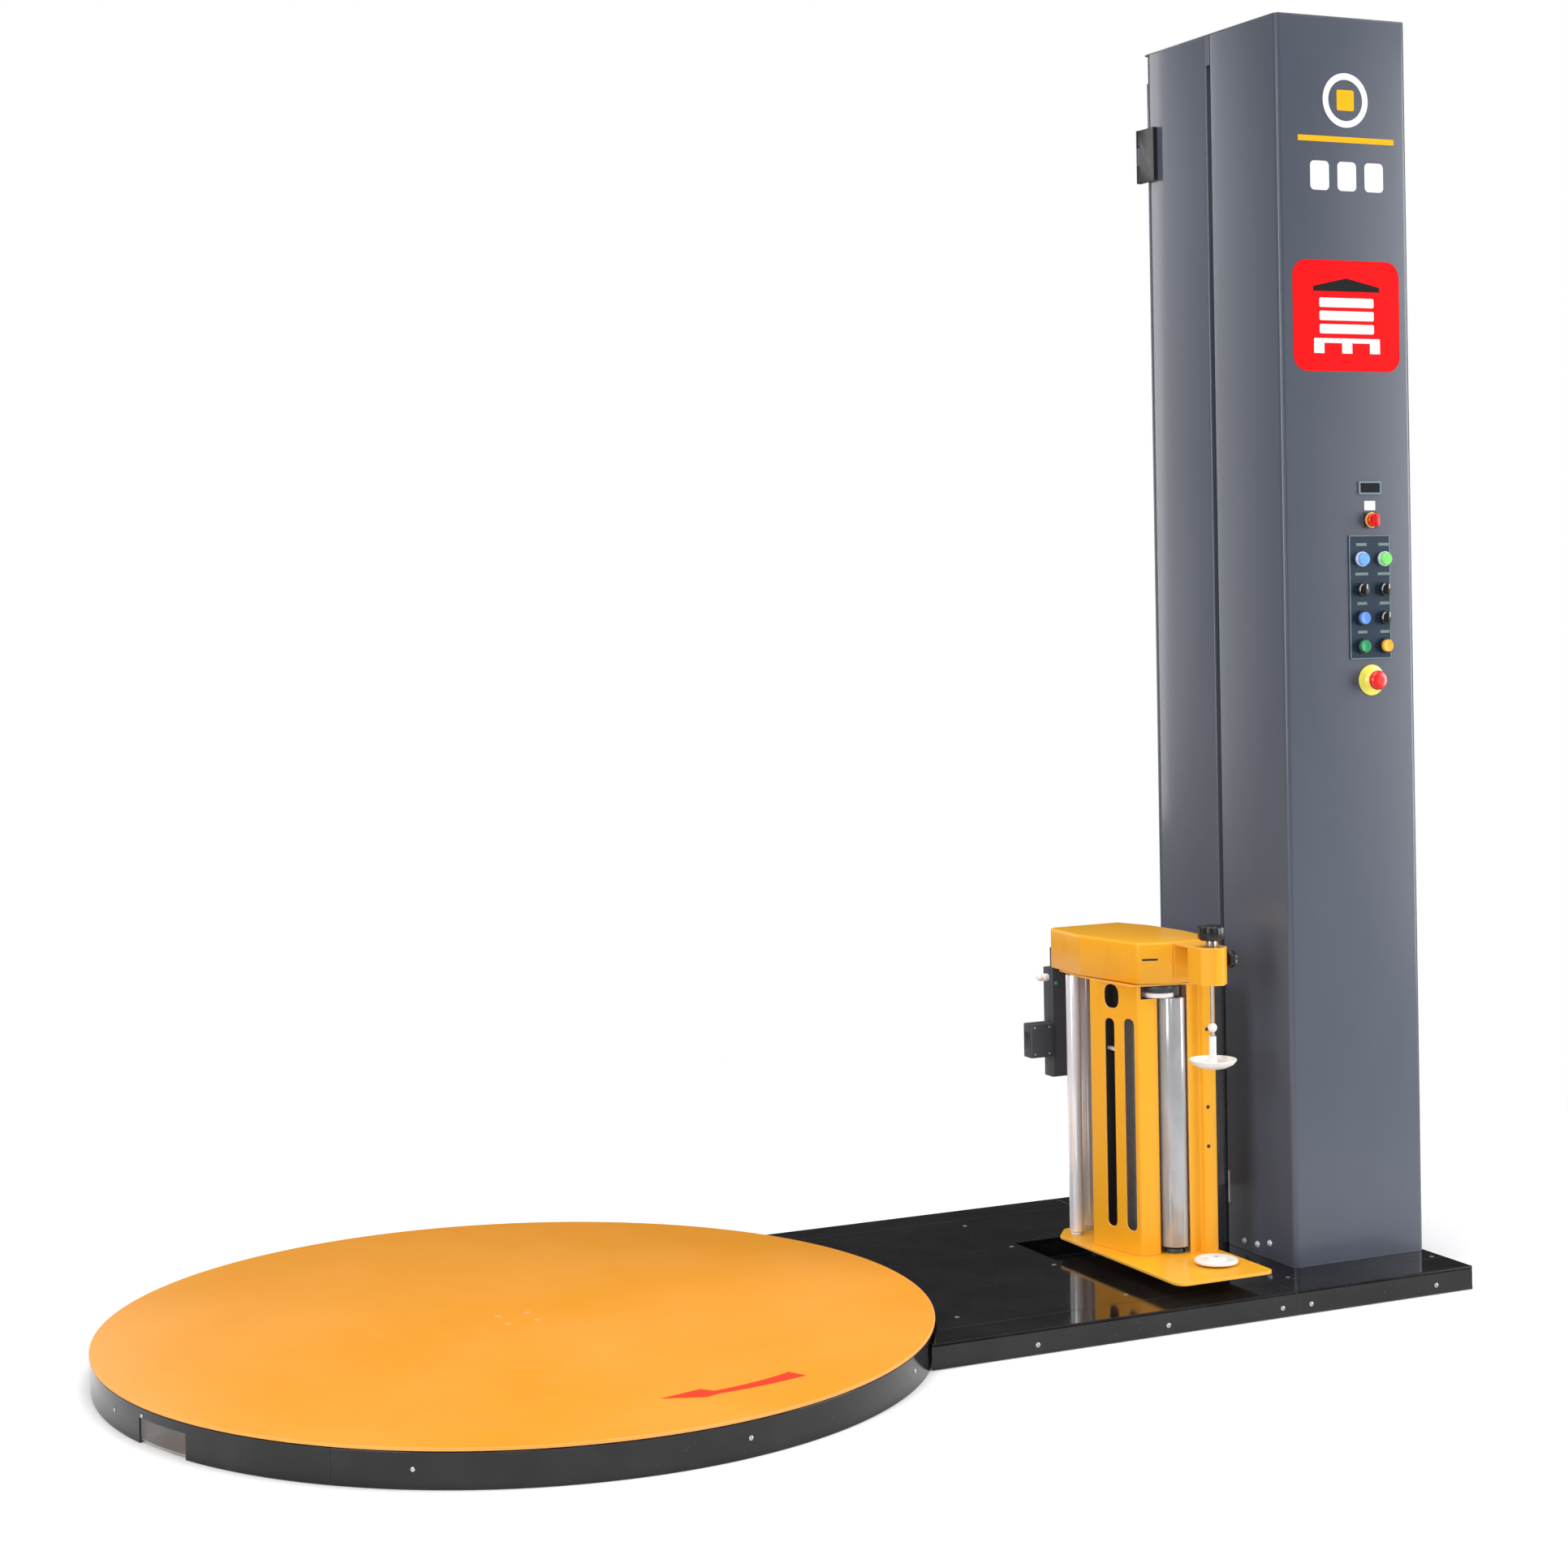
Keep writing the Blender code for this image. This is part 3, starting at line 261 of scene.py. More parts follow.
def darker(colour, share):
    return tuple(part * share for part in colour)


def lighter(colour, share):
    return tuple(part + (1.0 - part) * share for part in colour)


# ---- Finishes ---------------------------------------------------------------------------------
def table_yellow(colour):
    """Worn enamel on steel: faint mottling, pallet scuffs, fine grit, and a paler rim."""
    paint = Finish("table_yellow", Specular_IOR_Level=0.10)
    clouds = paint.noise(0.42, 5.0, 0.6)
    grit = paint.noise(0.0022, 2.0, 0.7)
    scuffs = paint.noise(0.020, 6.0, 0.75, (1.0, 0.12, 1.0))
    worn = paint.ramp(scuffs, 0.66, 0.80) * paint.ramp(paint.noise(0.30, 2.0), 0.45, 0.70)
    base = paint.mix(paint.ramp(clouds, 0.30, 0.72), darker(colour, 0.93), lighter(colour, 0.03))
    base = paint.mix(grit * 0.10, base, darker(colour, 0.72))
    base = paint.mix(worn * 0.22, base, lighter(colour, 0.35))
    base = paint.mix(paint.edges(0.004) * 0.45, base, lighter(colour, 0.45))
    paint.set("Base Color", base)
    paint.set("Roughness", 0.40 + grit * 0.12 + worn * 0.12)
    paint.set("Normal", paint.bump(grit + paint.noise(0.011, 3.0) * 0.6, 0.16, 0.0006))
    return paint


def carriage_yellow(colour):
    """Powder coat with orange peel, a little grime in it, and rubbed edges."""
    paint = Finish("carriage_yellow", Specular_IOR_Level=0.35)
    peel = paint.noise(0.0034, 2.0, 0.5)
    grime = paint.ramp(paint.noise(0.085, 5.0, 0.65, (1.0, 1.0, 0.35)), 0.54, 0.80)
    base = paint.mix(grime * 0.30, colour, darker(colour, 0.62))
    base = paint.mix(paint.edges(0.0022) * 0.42, base, lighter(colour, 0.50))
    paint.set("Base Color", base)
    paint.set("Roughness", 0.30 + peel * 0.10 + grime * 0.15)
    paint.set("Normal", paint.bump(peel, 0.14, 0.0005))
    return paint


def black_gloss(colour):
    """Gloss black paint with dust, hairline scratches and grey rubbed edges."""
    paint = Finish("black_gloss", Specular_IOR_Level=0.38)
    dust = paint.ramp(paint.noise(0.16, 6.0, 0.7), 0.42, 0.78)
    hair = paint.ramp(paint.noise(0.006, 4.0, 0.8, (0.03, 1.0, 1.0)), 0.66, 0.72)
    specks = paint.ramp(paint.cells(0.018), 0.075, 0.045)
    base = paint.mix(dust * 0.035, colour, (0.32, 0.31, 0.30))
    base = paint.mix(hair * 0.05, base, (0.35, 0.35, 0.35))
    base = paint.mix(specks * 0.16, base, (0.40, 0.38, 0.35))
    base = paint.mix(paint.edges(0.0025) * 0.10, base, (0.35, 0.35, 0.36))
    paint.set("Base Color", base)
    paint.set("Roughness", 0.075 + dust * 0.06 + hair * 0.10 + specks * 0.25)
    paint.set("Normal", paint.bump(paint.noise(0.060, 2.0), 0.05, 0.0010))
    return paint


def mast_grey(colour):
    """Powder coat with a fine metallic grain, soft cloudiness and rubbed edges."""
    paint = Finish("mast_grey", Specular_IOR_Level=0.30, Coat_Weight=0.22, Coat_Roughness=0.10)
    grain = paint.noise(0.0016, 2.0, 0.8)
    flakes = paint.ramp(paint.cells(0.0032), 0.16, 0.05)
    clouds = paint.ramp(paint.noise(0.55, 4.0, 0.6, (1.0, 1.0, 0.4)), 0.30, 0.75)
    streaks = paint.ramp(paint.noise(0.018, 5.0, 0.7, (1.0, 1.0, 0.06)), 0.58, 0.86)
    base = paint.mix(clouds, darker(colour, 0.90), lighter(colour, 0.02))
    base = paint.mix(grain * 0.30, base, darker(colour, 0.55))
    base = paint.mix(flakes * 0.22, base, lighter(colour, 0.28))
    base = paint.mix(streaks * 0.10, base, darker(colour, 0.55))
    base = paint.mix(paint.edges(0.003) * 0.30, base, lighter(colour, 0.40))
    paint.set("Base Color", base)
    paint.set("Metallic", 0.04 + flakes * 0.30)
    paint.set("Roughness", 0.27 + grain * 0.12)
    paint.set("Normal", paint.bump(grain + paint.noise(0.0055, 2.0) * 0.7, 0.12, 0.0004))
    return paint


def steel(colour):
    """Machined steel with brushing and faint stains."""
    metal = Finish("steel", Metallic=1.0)
    brushed = metal.noise(0.0012, 3.0, 0.7, (1.0, 1.0, 0.05))
    stain = metal.ramp(metal.noise(0.030, 4.0), 0.50, 0.78)
    metal.set("Base Color", metal.mix(stain * 0.40 + brushed * 0.15, colour, darker(colour, 0.55)))
    metal.set("Roughness", 0.24 + brushed * 0.20 + stain * 0.10)
    metal.set("Normal", metal.bump(brushed, 0.10, 0.0003))
    return metal


def zinc(colour):
    """Zinc plate with its crystals and a matte bloom."""
    metal = Finish("zinc", Metallic=0.65)
    crystals = metal.node("ShaderNodeTexVoronoi", {}, {"Vector": metal.place(), "Scale": 70.0}, "Color")
    bloom = metal.noise(0.02, 4.0)
    metal.set("Base Color", metal.mix(bloom * 0.5, lighter(colour, 0.10), darker(colour, 0.72)))
    metal.set("Roughness", 0.34 + 0.22 * metal.node("ShaderNodeRGBToBW", {}, {"Color": crystals}))
    return metal


def chrome(colour):
    """Satin chrome with faint wipe marks around it, on a pale base that is partly a painted reflection."""
    # Metallic 0.22 lets the pale base show as diffuse white everywhere: a painted reflection of bright
    # surroundings.
    metal = Finish("chrome", Metallic=0.22, Specular_IOR_Level=1.0)
    wipes = metal.noise(0.004, 4.0, 0.7, (1.0, 1.0, 6.0))
    film = metal.ramp(metal.noise(0.06, 4.0), 0.45, 0.80)
    metal.set("Base Color", metal.mix(film * 0.18, colour, darker(colour, 0.80)))
    metal.set("Roughness", 0.14 + wipes * 0.07 + film * 0.06)
    metal.set("Normal", metal.bump(wipes, 0.03, 0.0002))
    return metal


def grey_rubber(colour):
    """Ground rubber: fine turning marks, a bloom and a clear polish."""
    rubber = Finish("grey_rubber", Specular_IOR_Level=0.6, Coat_Weight=1.0, Coat_Roughness=0.10, Coat_IOR=1.9)
    turning = rubber.noise(0.0010, 2.0, 0.6, (0.10, 0.10, 1.0))
    bloom = rubber.ramp(rubber.noise(0.05, 4.0, 0.6, (1.0, 1.0, 0.5)), 0.35, 0.75)
    rubber.set("Base Color",
               rubber.mix(bloom * 0.5 + turning * 0.2, darker(colour, 0.85), lighter(colour, 0.16)))
    rubber.set("Roughness", 0.27 + bloom * 0.12 + turning * 0.08)
    rubber.set("Normal", rubber.bump(turning, 0.12, 0.0003))
    return rubber


def moulded(name, colour, roughness, glow=0.0):
    """Moulded plastic: fine spark-eroded texture, uneven gloss and greyed edges."""
    plastic = Finish(name, Specular_IOR_Level=0.5, Emission_Strength=glow)
    texture = plastic.noise(0.0009, 2.0, 0.7)
    handling = plastic.ramp(plastic.noise(0.012, 3.0), 0.40, 0.75)
    base = plastic.mix(handling * 0.22, colour, darker(colour, 0.75))
    base = plastic.mix(plastic.edges(0.0010) * 0.22, base, lighter(colour, 0.30))
    plastic.set("Base Color", base)
    plastic.set("Roughness", roughness + texture * 0.10 + handling * -0.06)
    plastic.set("Normal", plastic.bump(texture, 0.10, 0.0002))
    # Emission: the lit lamp buttons glow, and the amber reset button gets a painted glow though it has no
    # lamp.
    if glow > 0.0:
        plastic.set("Emission Color", colour)
    return plastic


def panel_blue(colour):
    """Printed panel film with a fine pebble texture."""
    film = Finish("panel_blue", Specular_IOR_Level=0.18)
    pebble = film.cells(0.0011)
    print_tone = film.noise(0.030, 3.0)
    film.set("Base Color", film.mix(print_tone * 0.5, darker(colour, 0.85), lighter(colour, 0.008)))
    film.set("Roughness", 0.34 + pebble * 0.12)
    film.set("Normal", film.bump(pebble, 0.12, 0.0002))
    return film


def motor_grey(colour):
    """Sprayed casting: coarse skin, grease in the hollows and chipped edges."""
    casting = Finish("motor_grey", Metallic=0.2)
    skin = casting.noise(0.0030, 4.0, 0.65)
    grease = casting.ramp(casting.noise(0.040, 4.0), 0.50, 0.75)
    base = casting.mix(grease * 0.5, colour, darker(colour, 0.45))
    casting.set("Base Color", casting.mix(casting.edges(0.002) * 0.5, base, lighter(colour, 0.35)))
    casting.set("Roughness", 0.42 + skin * 0.18 + grease * -0.12)
    casting.set("Normal", casting.bump(skin, 0.30, 0.0007))
    return casting


def decal(name, colour):
    """Cut vinyl film: even colour with a faint ripple."""
    vinyl = Finish(name, Specular_IOR_Level=0.06)
    ripple = vinyl.noise(0.006, 3.0)
    vinyl.set("Base Color", vinyl.mix(ripple * 0.12, colour, darker(colour, 0.80)))
    vinyl.set("Roughness", 0.42 + ripple * 0.12)
    vinyl.set("Normal", vinyl.bump(ripple, 0.05, 0.0002))
    return vinyl


def dark_glass():
    """A display's window."""
    glass = Finish("dark_glass", Coat_Weight=1.0, Coat_Roughness=0.03)
    depth = glass.noise(0.008, 2.0)
    glass.set("Base Color", glass.mix(depth * 0.5, (0.010, 0.012, 0.015), (0.030, 0.035, 0.045)))
    glass.set("Roughness", 0.10 + depth * 0.05)
    return glass


OWN_RECIPES = {"table_yellow": table_yellow, "carriage_yellow": carriage_yellow, "black_gloss": black_gloss,
               "mast_grey": mast_grey, "steel": steel, "chrome": chrome, "grey_rubber": grey_rubber,
               "panel_blue": panel_blue, "motor_grey": motor_grey}
MOULDED = {"white_nylon": (0.34, 0.0), "black_plastic": (0.32, 0.0), "slate_plastic": (0.44, 0.0),
           "signal_red": (0.24, 0.0), "signal_yellow": (0.30, 0.0), "button_blue": (0.20, 0.0),
           # The amber reset button has no lamp: its small glow is a painted glow.
           "button_green": (0.20, 0.0), "button_amber": (0.20, 0.12), "lens_blue": (0.16, 0.35),
           "lens_green": (0.16, 0.30)}
DECALS = {"white_film": (0.86, 0.86, 0.88), "yellow_film": (0.95, 0.46, 0.01),
          "red_film": (0.95, 0.002, 0.004),
          "arrow_film": (0.83, 0.055, 0.025), "grey_film": (0.20, 0.26, 0.25),
          "black_film": (0.012, 0.012, 0.012),
          "pale_film": (0.20, 0.27, 0.30)}


def finish(name):
    """The material of a finish, made the first time that it is asked for."""
    made = bpy.data.materials.get(f"{name}_finish")
    if made:
        return made
    if name in OWN_RECIPES:
        return OWN_RECIPES[name](tuple(getattr(colours(), name))).material
    if name in MOULDED:
        return moulded(name, tuple(getattr(colours(), name)), *MOULDED[name]).material
    if name in DECALS:
        return decal(name, DECALS[name]).material
    if name == "zinc":
        return zinc((0.62, 0.63, 0.65)).material
    return dark_glass().material


# ---- Outlines ---------------------------------------------------------------------------------
def arc(centre, radius, start, end, steps):
    """Points along an arc, with its angles in degrees."""
    points = []
    for i in range(steps + 1):
        angle = math.radians(start + (end - start) * i / steps)
        points.append((centre[0] + radius * math.cos(angle), centre[1] + radius * math.sin(angle)))
    return points


def fillet(before, corner, after, radius, steps):
    """Points of the arc that rounds a corner between its two neighbours."""
    here = Vector(corner)
    back = Vector(before) - here
    on = Vector(after) - here
    half = back.angle(on) / 2
    if half > math.radians(88) or radius <= 0.0:
        return [tuple(here)]
    reach = min(radius / math.tan(half), 0.49 * back.length, 0.49 * on.length)
    radius = reach * math.tan(half)
    middle = here + (back.normalized() + on.normalized()).normalized() * (radius / math.sin(half))
    start = here + back.normalized() * reach - middle
    end = here + on.normalized() * reach - middle
    turn = -start.angle_signed(end)
    spun = [Matrix.Rotation(turn * i / steps, 2) @ start for i in range(steps + 1)]
    return [tuple(middle + point) for point in spun]


def rounded(corners, radius, steps=6):
    """A closed outline with each corner rounded to the same radius."""
    outline = []
    for i, corner in enumerate(corners):
        outline += fillet(corners[i - 1], corner, corners[(i + 1) % len(corners)], radius, steps)
    return outline


def softened(profile, radius, steps=3):
    """An open profile with its inner corners rounded, to one radius or to a list of them."""
    radii = radius if isinstance(radius, list) else [radius] * (len(profile) - 2)
    outline = [profile[0]]
    for before, corner, after, reach in zip(profile, profile[1:], profile[2:], radii):
        outline += fillet(before, corner, after, reach, steps)
    return outline + [profile[-1]]


def rectangle(low, high):
    return [(low[0], low[1]), (high[0], low[1]), (high[0], high[1]), (low[0], high[1])]


def inset(outline, distance):
    """A closed anticlockwise outline moved inwards."""
    moved_in = []
    for i, point in enumerate(outline):
        along = (Vector(outline[(i + 1) % len(outline)]) - Vector(outline[i - 1])).normalized()
        moved_in.append((point[0] - along.y * distance, point[1] + along.x * distance))
    return moved_in


def folded(path, thickness, bend, steps=8):
    """The outline of a folded sheet. The path is its right-hand face, and the sheet lies on its left."""
    bends = softened(path, bend, steps)
    inner = []
    for i, point in enumerate(bends):
        before = Vector(bends[max(i - 1, 0)])
        after = Vector(bends[min(i + 1, len(bends) - 1)])
        along = (after - before).normalized()
        inner.append((point[0] - along.y * thickness, point[1] + along.x * thickness))
    return bends + inner[::-1]


# ---- Solids -----------------------------------------------------------------------------------
def loft(loops):
    """A closed skin through loops of the same number of points, with flat ends."""
    shape = bmesh.new()
    rows = [[shape.verts.new(point) for point in loop] for loop in loops]
    for low, high in zip(rows, rows[1:]):
        for i in range(len(low)):
            j = (i + 1) % len(low)
            shape.faces.new((low[i], low[j], high[j], high[i]))
    shape.faces.new(rows[0][::-1])
    shape.faces.new(rows[-1])
    bmesh.ops.recalc_face_normals(shape, faces=shape.faces[:])
    return shape


def level(outline, height):
    return [(x, y, height) for x, y in outline]


def prism(outline, low, high):
    """A flat outline of (x, y) points, extruded along Z."""
    return loft([level(outline, low), level(outline, high)])


def box(low, high):
    """A closed box between two corners."""
    return prism(rectangle(low, high), low[2], high[2])


def turned(profile, steps=None):
    """A profile of (radius, height) points turned about Z. A ring's profile repeats its first point."""
    shape = bmesh.new()
    points = [shape.verts.new((radius, 0.0, height)) for radius, height in profile]
    for first, second in zip(points, points[1:]):
        shape.edges.new((first, second))
    bmesh.ops.spin(shape, geom=shape.verts[:] + shape.edges[:], cent=(0, 0, 0), axis=(0, 0, 1),
                   angle=2 * math.pi, steps=steps or sizes().round_steps, use_merge=True)
    bmesh.ops.remove_doubles(shape, verts=shape.verts[:], dist=1e-6)
    bmesh.ops.recalc_face_normals(shape, faces=shape.faces[:])
    return shape


def moved(shape, place):
    bmesh.ops.transform(shape, matrix=place, verts=shape.verts[:])
    return shape


def at(x, y, z=0.0):
    return Matrix.Translation((x, y, z))


def facing_front(x, y, z):
    """Turns a shape made along +Z to face the operator along -Y, standing at a point."""
    return at(x, y, z) @ Matrix.Rotation(math.pi / 2, 4, "X")


def facing_table(x, y, z):
    """Turns a shape made along +Z to face the turntable along -X, standing at a point."""
    return at(x, y, z) @ Matrix.Rotation(-math.pi / 2, 4, "Y")


def facing_back(x, y, z):
    """Turns a shape made along +Z to face backwards along +Y, standing at a point."""
    return at(x, y, z) @ Matrix.Rotation(-math.pi / 2, 4, "X")


def together(shapes):
    """Several closed shapes as one mesh."""
    whole = bmesh.new()
    for shape in shapes:
        mesh = bpy.data.meshes.new("part")
        shape.to_mesh(mesh)
        shape.free()
        whole.from_mesh(mesh)
        bpy.data.meshes.remove(mesh)
    return whole


def combined(shape, tool, operation):
    """A shape with a tool cut out of it or joined to it."""
    objects = []
    for name, source in (("shape", shape), ("tool", tool)):
        mesh = bpy.data.meshes.new(name)
        source.to_mesh(mesh)
        source.free()
        objects.append(bpy.data.objects.new(name, mesh))
        bpy.context.scene.collection.objects.link(objects[-1])
    step = objects[0].modifiers.new("combine", "BOOLEAN")
    step.operation = operation
    step.object = objects[1]
    bpy.context.view_layer.update()
    mesh = bpy.data.meshes.new_from_object(objects[0].evaluated_get(bpy.context.evaluated_depsgraph_get()))
    result = bmesh.new()
    result.from_mesh(mesh)
    bpy.data.meshes.remove(mesh)
    for old in objects:
        old_mesh = old.data
        bpy.data.objects.remove(old)
        bpy.data.meshes.remove(old_mesh)
    return result


def frame_shape(node):
    """A copy of a frame node's own shape, with its flat faces merged."""
    shape = bmesh.new()
    shape.from_mesh(frame["nodes"][node].data)
    bmesh.ops.remove_doubles(shape, verts=shape.verts[:], dist=1e-5)
    bmesh.ops.dissolve_limit(shape, angle_limit=math.radians(0.5), verts=shape.verts[:], edges=shape.edges[:])
    return shape


def piece(name, shape, finish_name, body, replaced=(), bevel=0.0, bevel_steps=2, sharp=35.0):
    """A named piece in its place: its material, bevel and body, and the nodes it stands for."""
    mesh = bpy.data.meshes.new(name)
    shape.to_mesh(mesh)
    shape.free()
    mesh.shade_smooth()
    mesh.set_sharp_from_angle(angle=math.radians(sharp))
    made = bpy.data.objects.new(name, mesh)
    bpy.context.scene.collection.objects.link(made)
    mesh.materials.append(finish(finish_name))
    if bevel > 0.0:
        step = made.modifiers.new("edge", "BEVEL")
        step.width = bevel
        step.segments = bevel_steps
        step.limit_method = "ANGLE"
        step.angle_limit = math.radians(40)
        step.harden_normals = True
    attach(made, body)
    if replaced:
        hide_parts(*replaced)
    return made


def refined(node, bevel, bevel_steps=2, finish_name=None):
    """A frame node's shape with its edges rounded."""
    return piece(f"{node}_finished", frame_shape(node), finish_name or SLOT_OF_NODE[node], BODY_OF_NODE[node],
                 (node,), bevel, bevel_steps)


def hex_loop(flat, height, points=24):
    """A hexagon's outline as a loop of points, with flats at a distance from the middle."""
    loop = []
    for i in range(points):
        angle = 2 * math.pi * i / points
        off = (angle + math.pi / 6) % (math.pi / 3) - math.pi / 6
        reach = flat / math.cos(off)
        loop.append((reach * math.cos(angle), reach * math.sin(angle), height))
    return loop


def round_loop(radius, height, points=24):
    return [(radius * math.cos(2 * math.pi * i / points), radius * math.sin(2 * math.pi * i / points), height)
            for i in range(points)]


def socket_screw(radius, height):
    """A button-head screw with a hexagonal socket, standing on its own flat side."""
    return loft([round_loop(radius, 0.0), round_loop(radius, height * 0.35),
                 round_loop(radius * 0.94, height * 0.62),
                 round_loop(radius * 0.78, height * 0.88), round_loop(radius * 0.60, height),
                 hex_loop(radius * 0.42, height), hex_loop(radius * 0.40, height * 0.30)])


def flush_screw(radius, height):
    """A countersunk screw's head standing just proud, with its socket."""
    return loft([round_loop(radius, -height), round_loop(radius, height * 0.5),
                 round_loop(radius * 0.93, height),
                 hex_loop(radius * 0.46, height), hex_loop(radius * 0.44, -height * 0.6)])


def hex_bolt(radius, height):
    """A hexagon bolt's head on its washer."""
    washer = loft([round_loop(radius * 1.45, 0.0), round_loop(radius * 1.45, height * 0.22),
                   round_loop(radius * 1.38, height * 0.28), round_loop(radius * 0.8, height * 0.28)])
    head = loft([hex_loop(radius * 0.87, height * 0.2), hex_loop(radius * 0.87, height * 0.92),
                 round_loop(radius * 0.80, height)])
    return together([washer, head])


def lobed(radius, low, high, lobes, depth):
    """A hand knob whose side has rounded lobes."""
    points = 96
    def loop(scale, height):
        outline = []
        for i in range(points):
            angle = 2 * math.pi * i / points
            reach = radius * scale - depth * (0.5 - 0.5 * math.cos(lobes * angle)) * scale
            outline.append((reach * math.cos(angle), reach * math.sin(angle), height))
        return outline
    edge = (high - low) * 0.18
    return loft([loop(0.80, low), loop(0.93, low + edge * 0.4), loop(1.0, low + edge), loop(1.0, high - edge),
                 loop(0.94, high - edge * 0.35), loop(0.82, high), loop(0.30, high + edge * 0.1)])


# ---- Sizes shared by several pieces -----------------------------------------------------------
TABLE_LOW, TABLE_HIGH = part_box("turntable_plate")
TABLE_RADIUS = TABLE_HIGH.x
TABLE_TOP = TABLE_HIGH.z
TABLE_PLATE = 0.006
RIM_RADIUS = 0.823
RIM_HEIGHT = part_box("skirt_left")[1].z
RIM_SHEET = 0.004
RIM_SEAMS = (-36.0, 36.0, 132.0, 228.0, 324.0)
NOTCH_ANGLES = (195.6, 205.8)
NOTCH_HEIGHT = 0.046
DECK_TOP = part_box("deck_cover")[1].z
DECK_HALF_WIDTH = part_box("side_rail_back")[1].y
MAST_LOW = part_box("mast_front_shell")[0]
MAST_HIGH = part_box("mast_cap")[1]
MAST_SHEET = 0.003
MAST_BEND = 0.012
MAST_BACK_BEND = 0.030
SLOT_BEND = 0.005
SLOT_Y = -0.076
SLOT_HALF_WIDTH = 0.008
SLOT_FOLD = 0.020
GAP = 0.0003
CONTROL_SHEET = 0.002
CONTROL_FACE = FRONT_FACE - GAP - CONTROL_SHEET
KNOB_RISE = 0.0145
COLUMN_SCREW_INSET = 0.0225
DRIVE_HUB_PLACE = (1.3745, -0.1965)
HOUSING_LOW, HOUSING_TOP = 0.6300, 0.6534
FLOOR_REACH = 40.0


# ---- Turntable --------------------------------------------------------------------------------
class WRAPPER_OT_table(bpy.types.Operator):
    """Build the turning disc, its centre screws and the red turning arrow"""

    bl_idname = "wrapper.table"
    bl_label = "Turntable"

    def execute(self, context):
        under = TABLE_TOP - TABLE_PLATE
        ring_low = 0.0483
        hub_low = TABLE_LOW.z
        profile = softened([
            (0.0, TABLE_TOP), (TABLE_RADIUS, TABLE_TOP), (TABLE_RADIUS, under), (0.290, under),
            (0.290, ring_low), (0.272, ring_low), (0.272, under), (0.052, under), (0.052, hub_low),
            (0.034, hub_low), (0.034, under - 0.002), (0.0, under - 0.002)], 0.0015)
        piece("table_disc", turned(profile, sizes().rim_steps), "table_yellow", "table", ("turntable_plate",))
        screws = [moved(flush_screw(0.0065, 0.0004), at(*spot, TABLE_TOP))
                  for spot in arc((0, 0), 0.043, 45, 315, 3)]
        piece("table_screws", together(screws), "table_yellow", "table")
        piece("turn_arrow", prism(self.arrow_outline(), TABLE_TOP - 0.0002, TABLE_TOP + 0.0004),
              "arrow_film", "table")
        return {"FINISHED"}

    def arrow_outline(self):
        """A curved arrow that narrows from its tail and turns clockwise, seen from above."""
        tail, neck, tip = -62.0, -77.0, -86.0
        middle_tail, middle_neck, middle_tip = 0.693, 0.666, 0.640
        half_tail, half_neck = 0.0205, 0.0095
        inner, outer = [], []
        steps = 16
        for i in range(steps + 1):
            share = i / steps
            angle = math.radians(tail + (neck - tail) * share)
            middle = middle_tail + (middle_neck - middle_tail) * share
            half = half_tail + (half_neck - half_tail) * share ** 0.7
            inner.append(((middle - half) * math.cos(angle), (middle - half) * math.sin(angle)))
            outer.append(((middle + half) * math.cos(angle), (middle + half) * math.sin(angle)))
        head = [(0.6310, -78.2), (middle_tip, tip), (0.6790, -79.6)]
        barbs = [(reach * math.cos(math.radians(angle)), reach * math.sin(math.radians(angle)))
                 for reach, angle in head]
        return inner + barbs + outer[::-1]


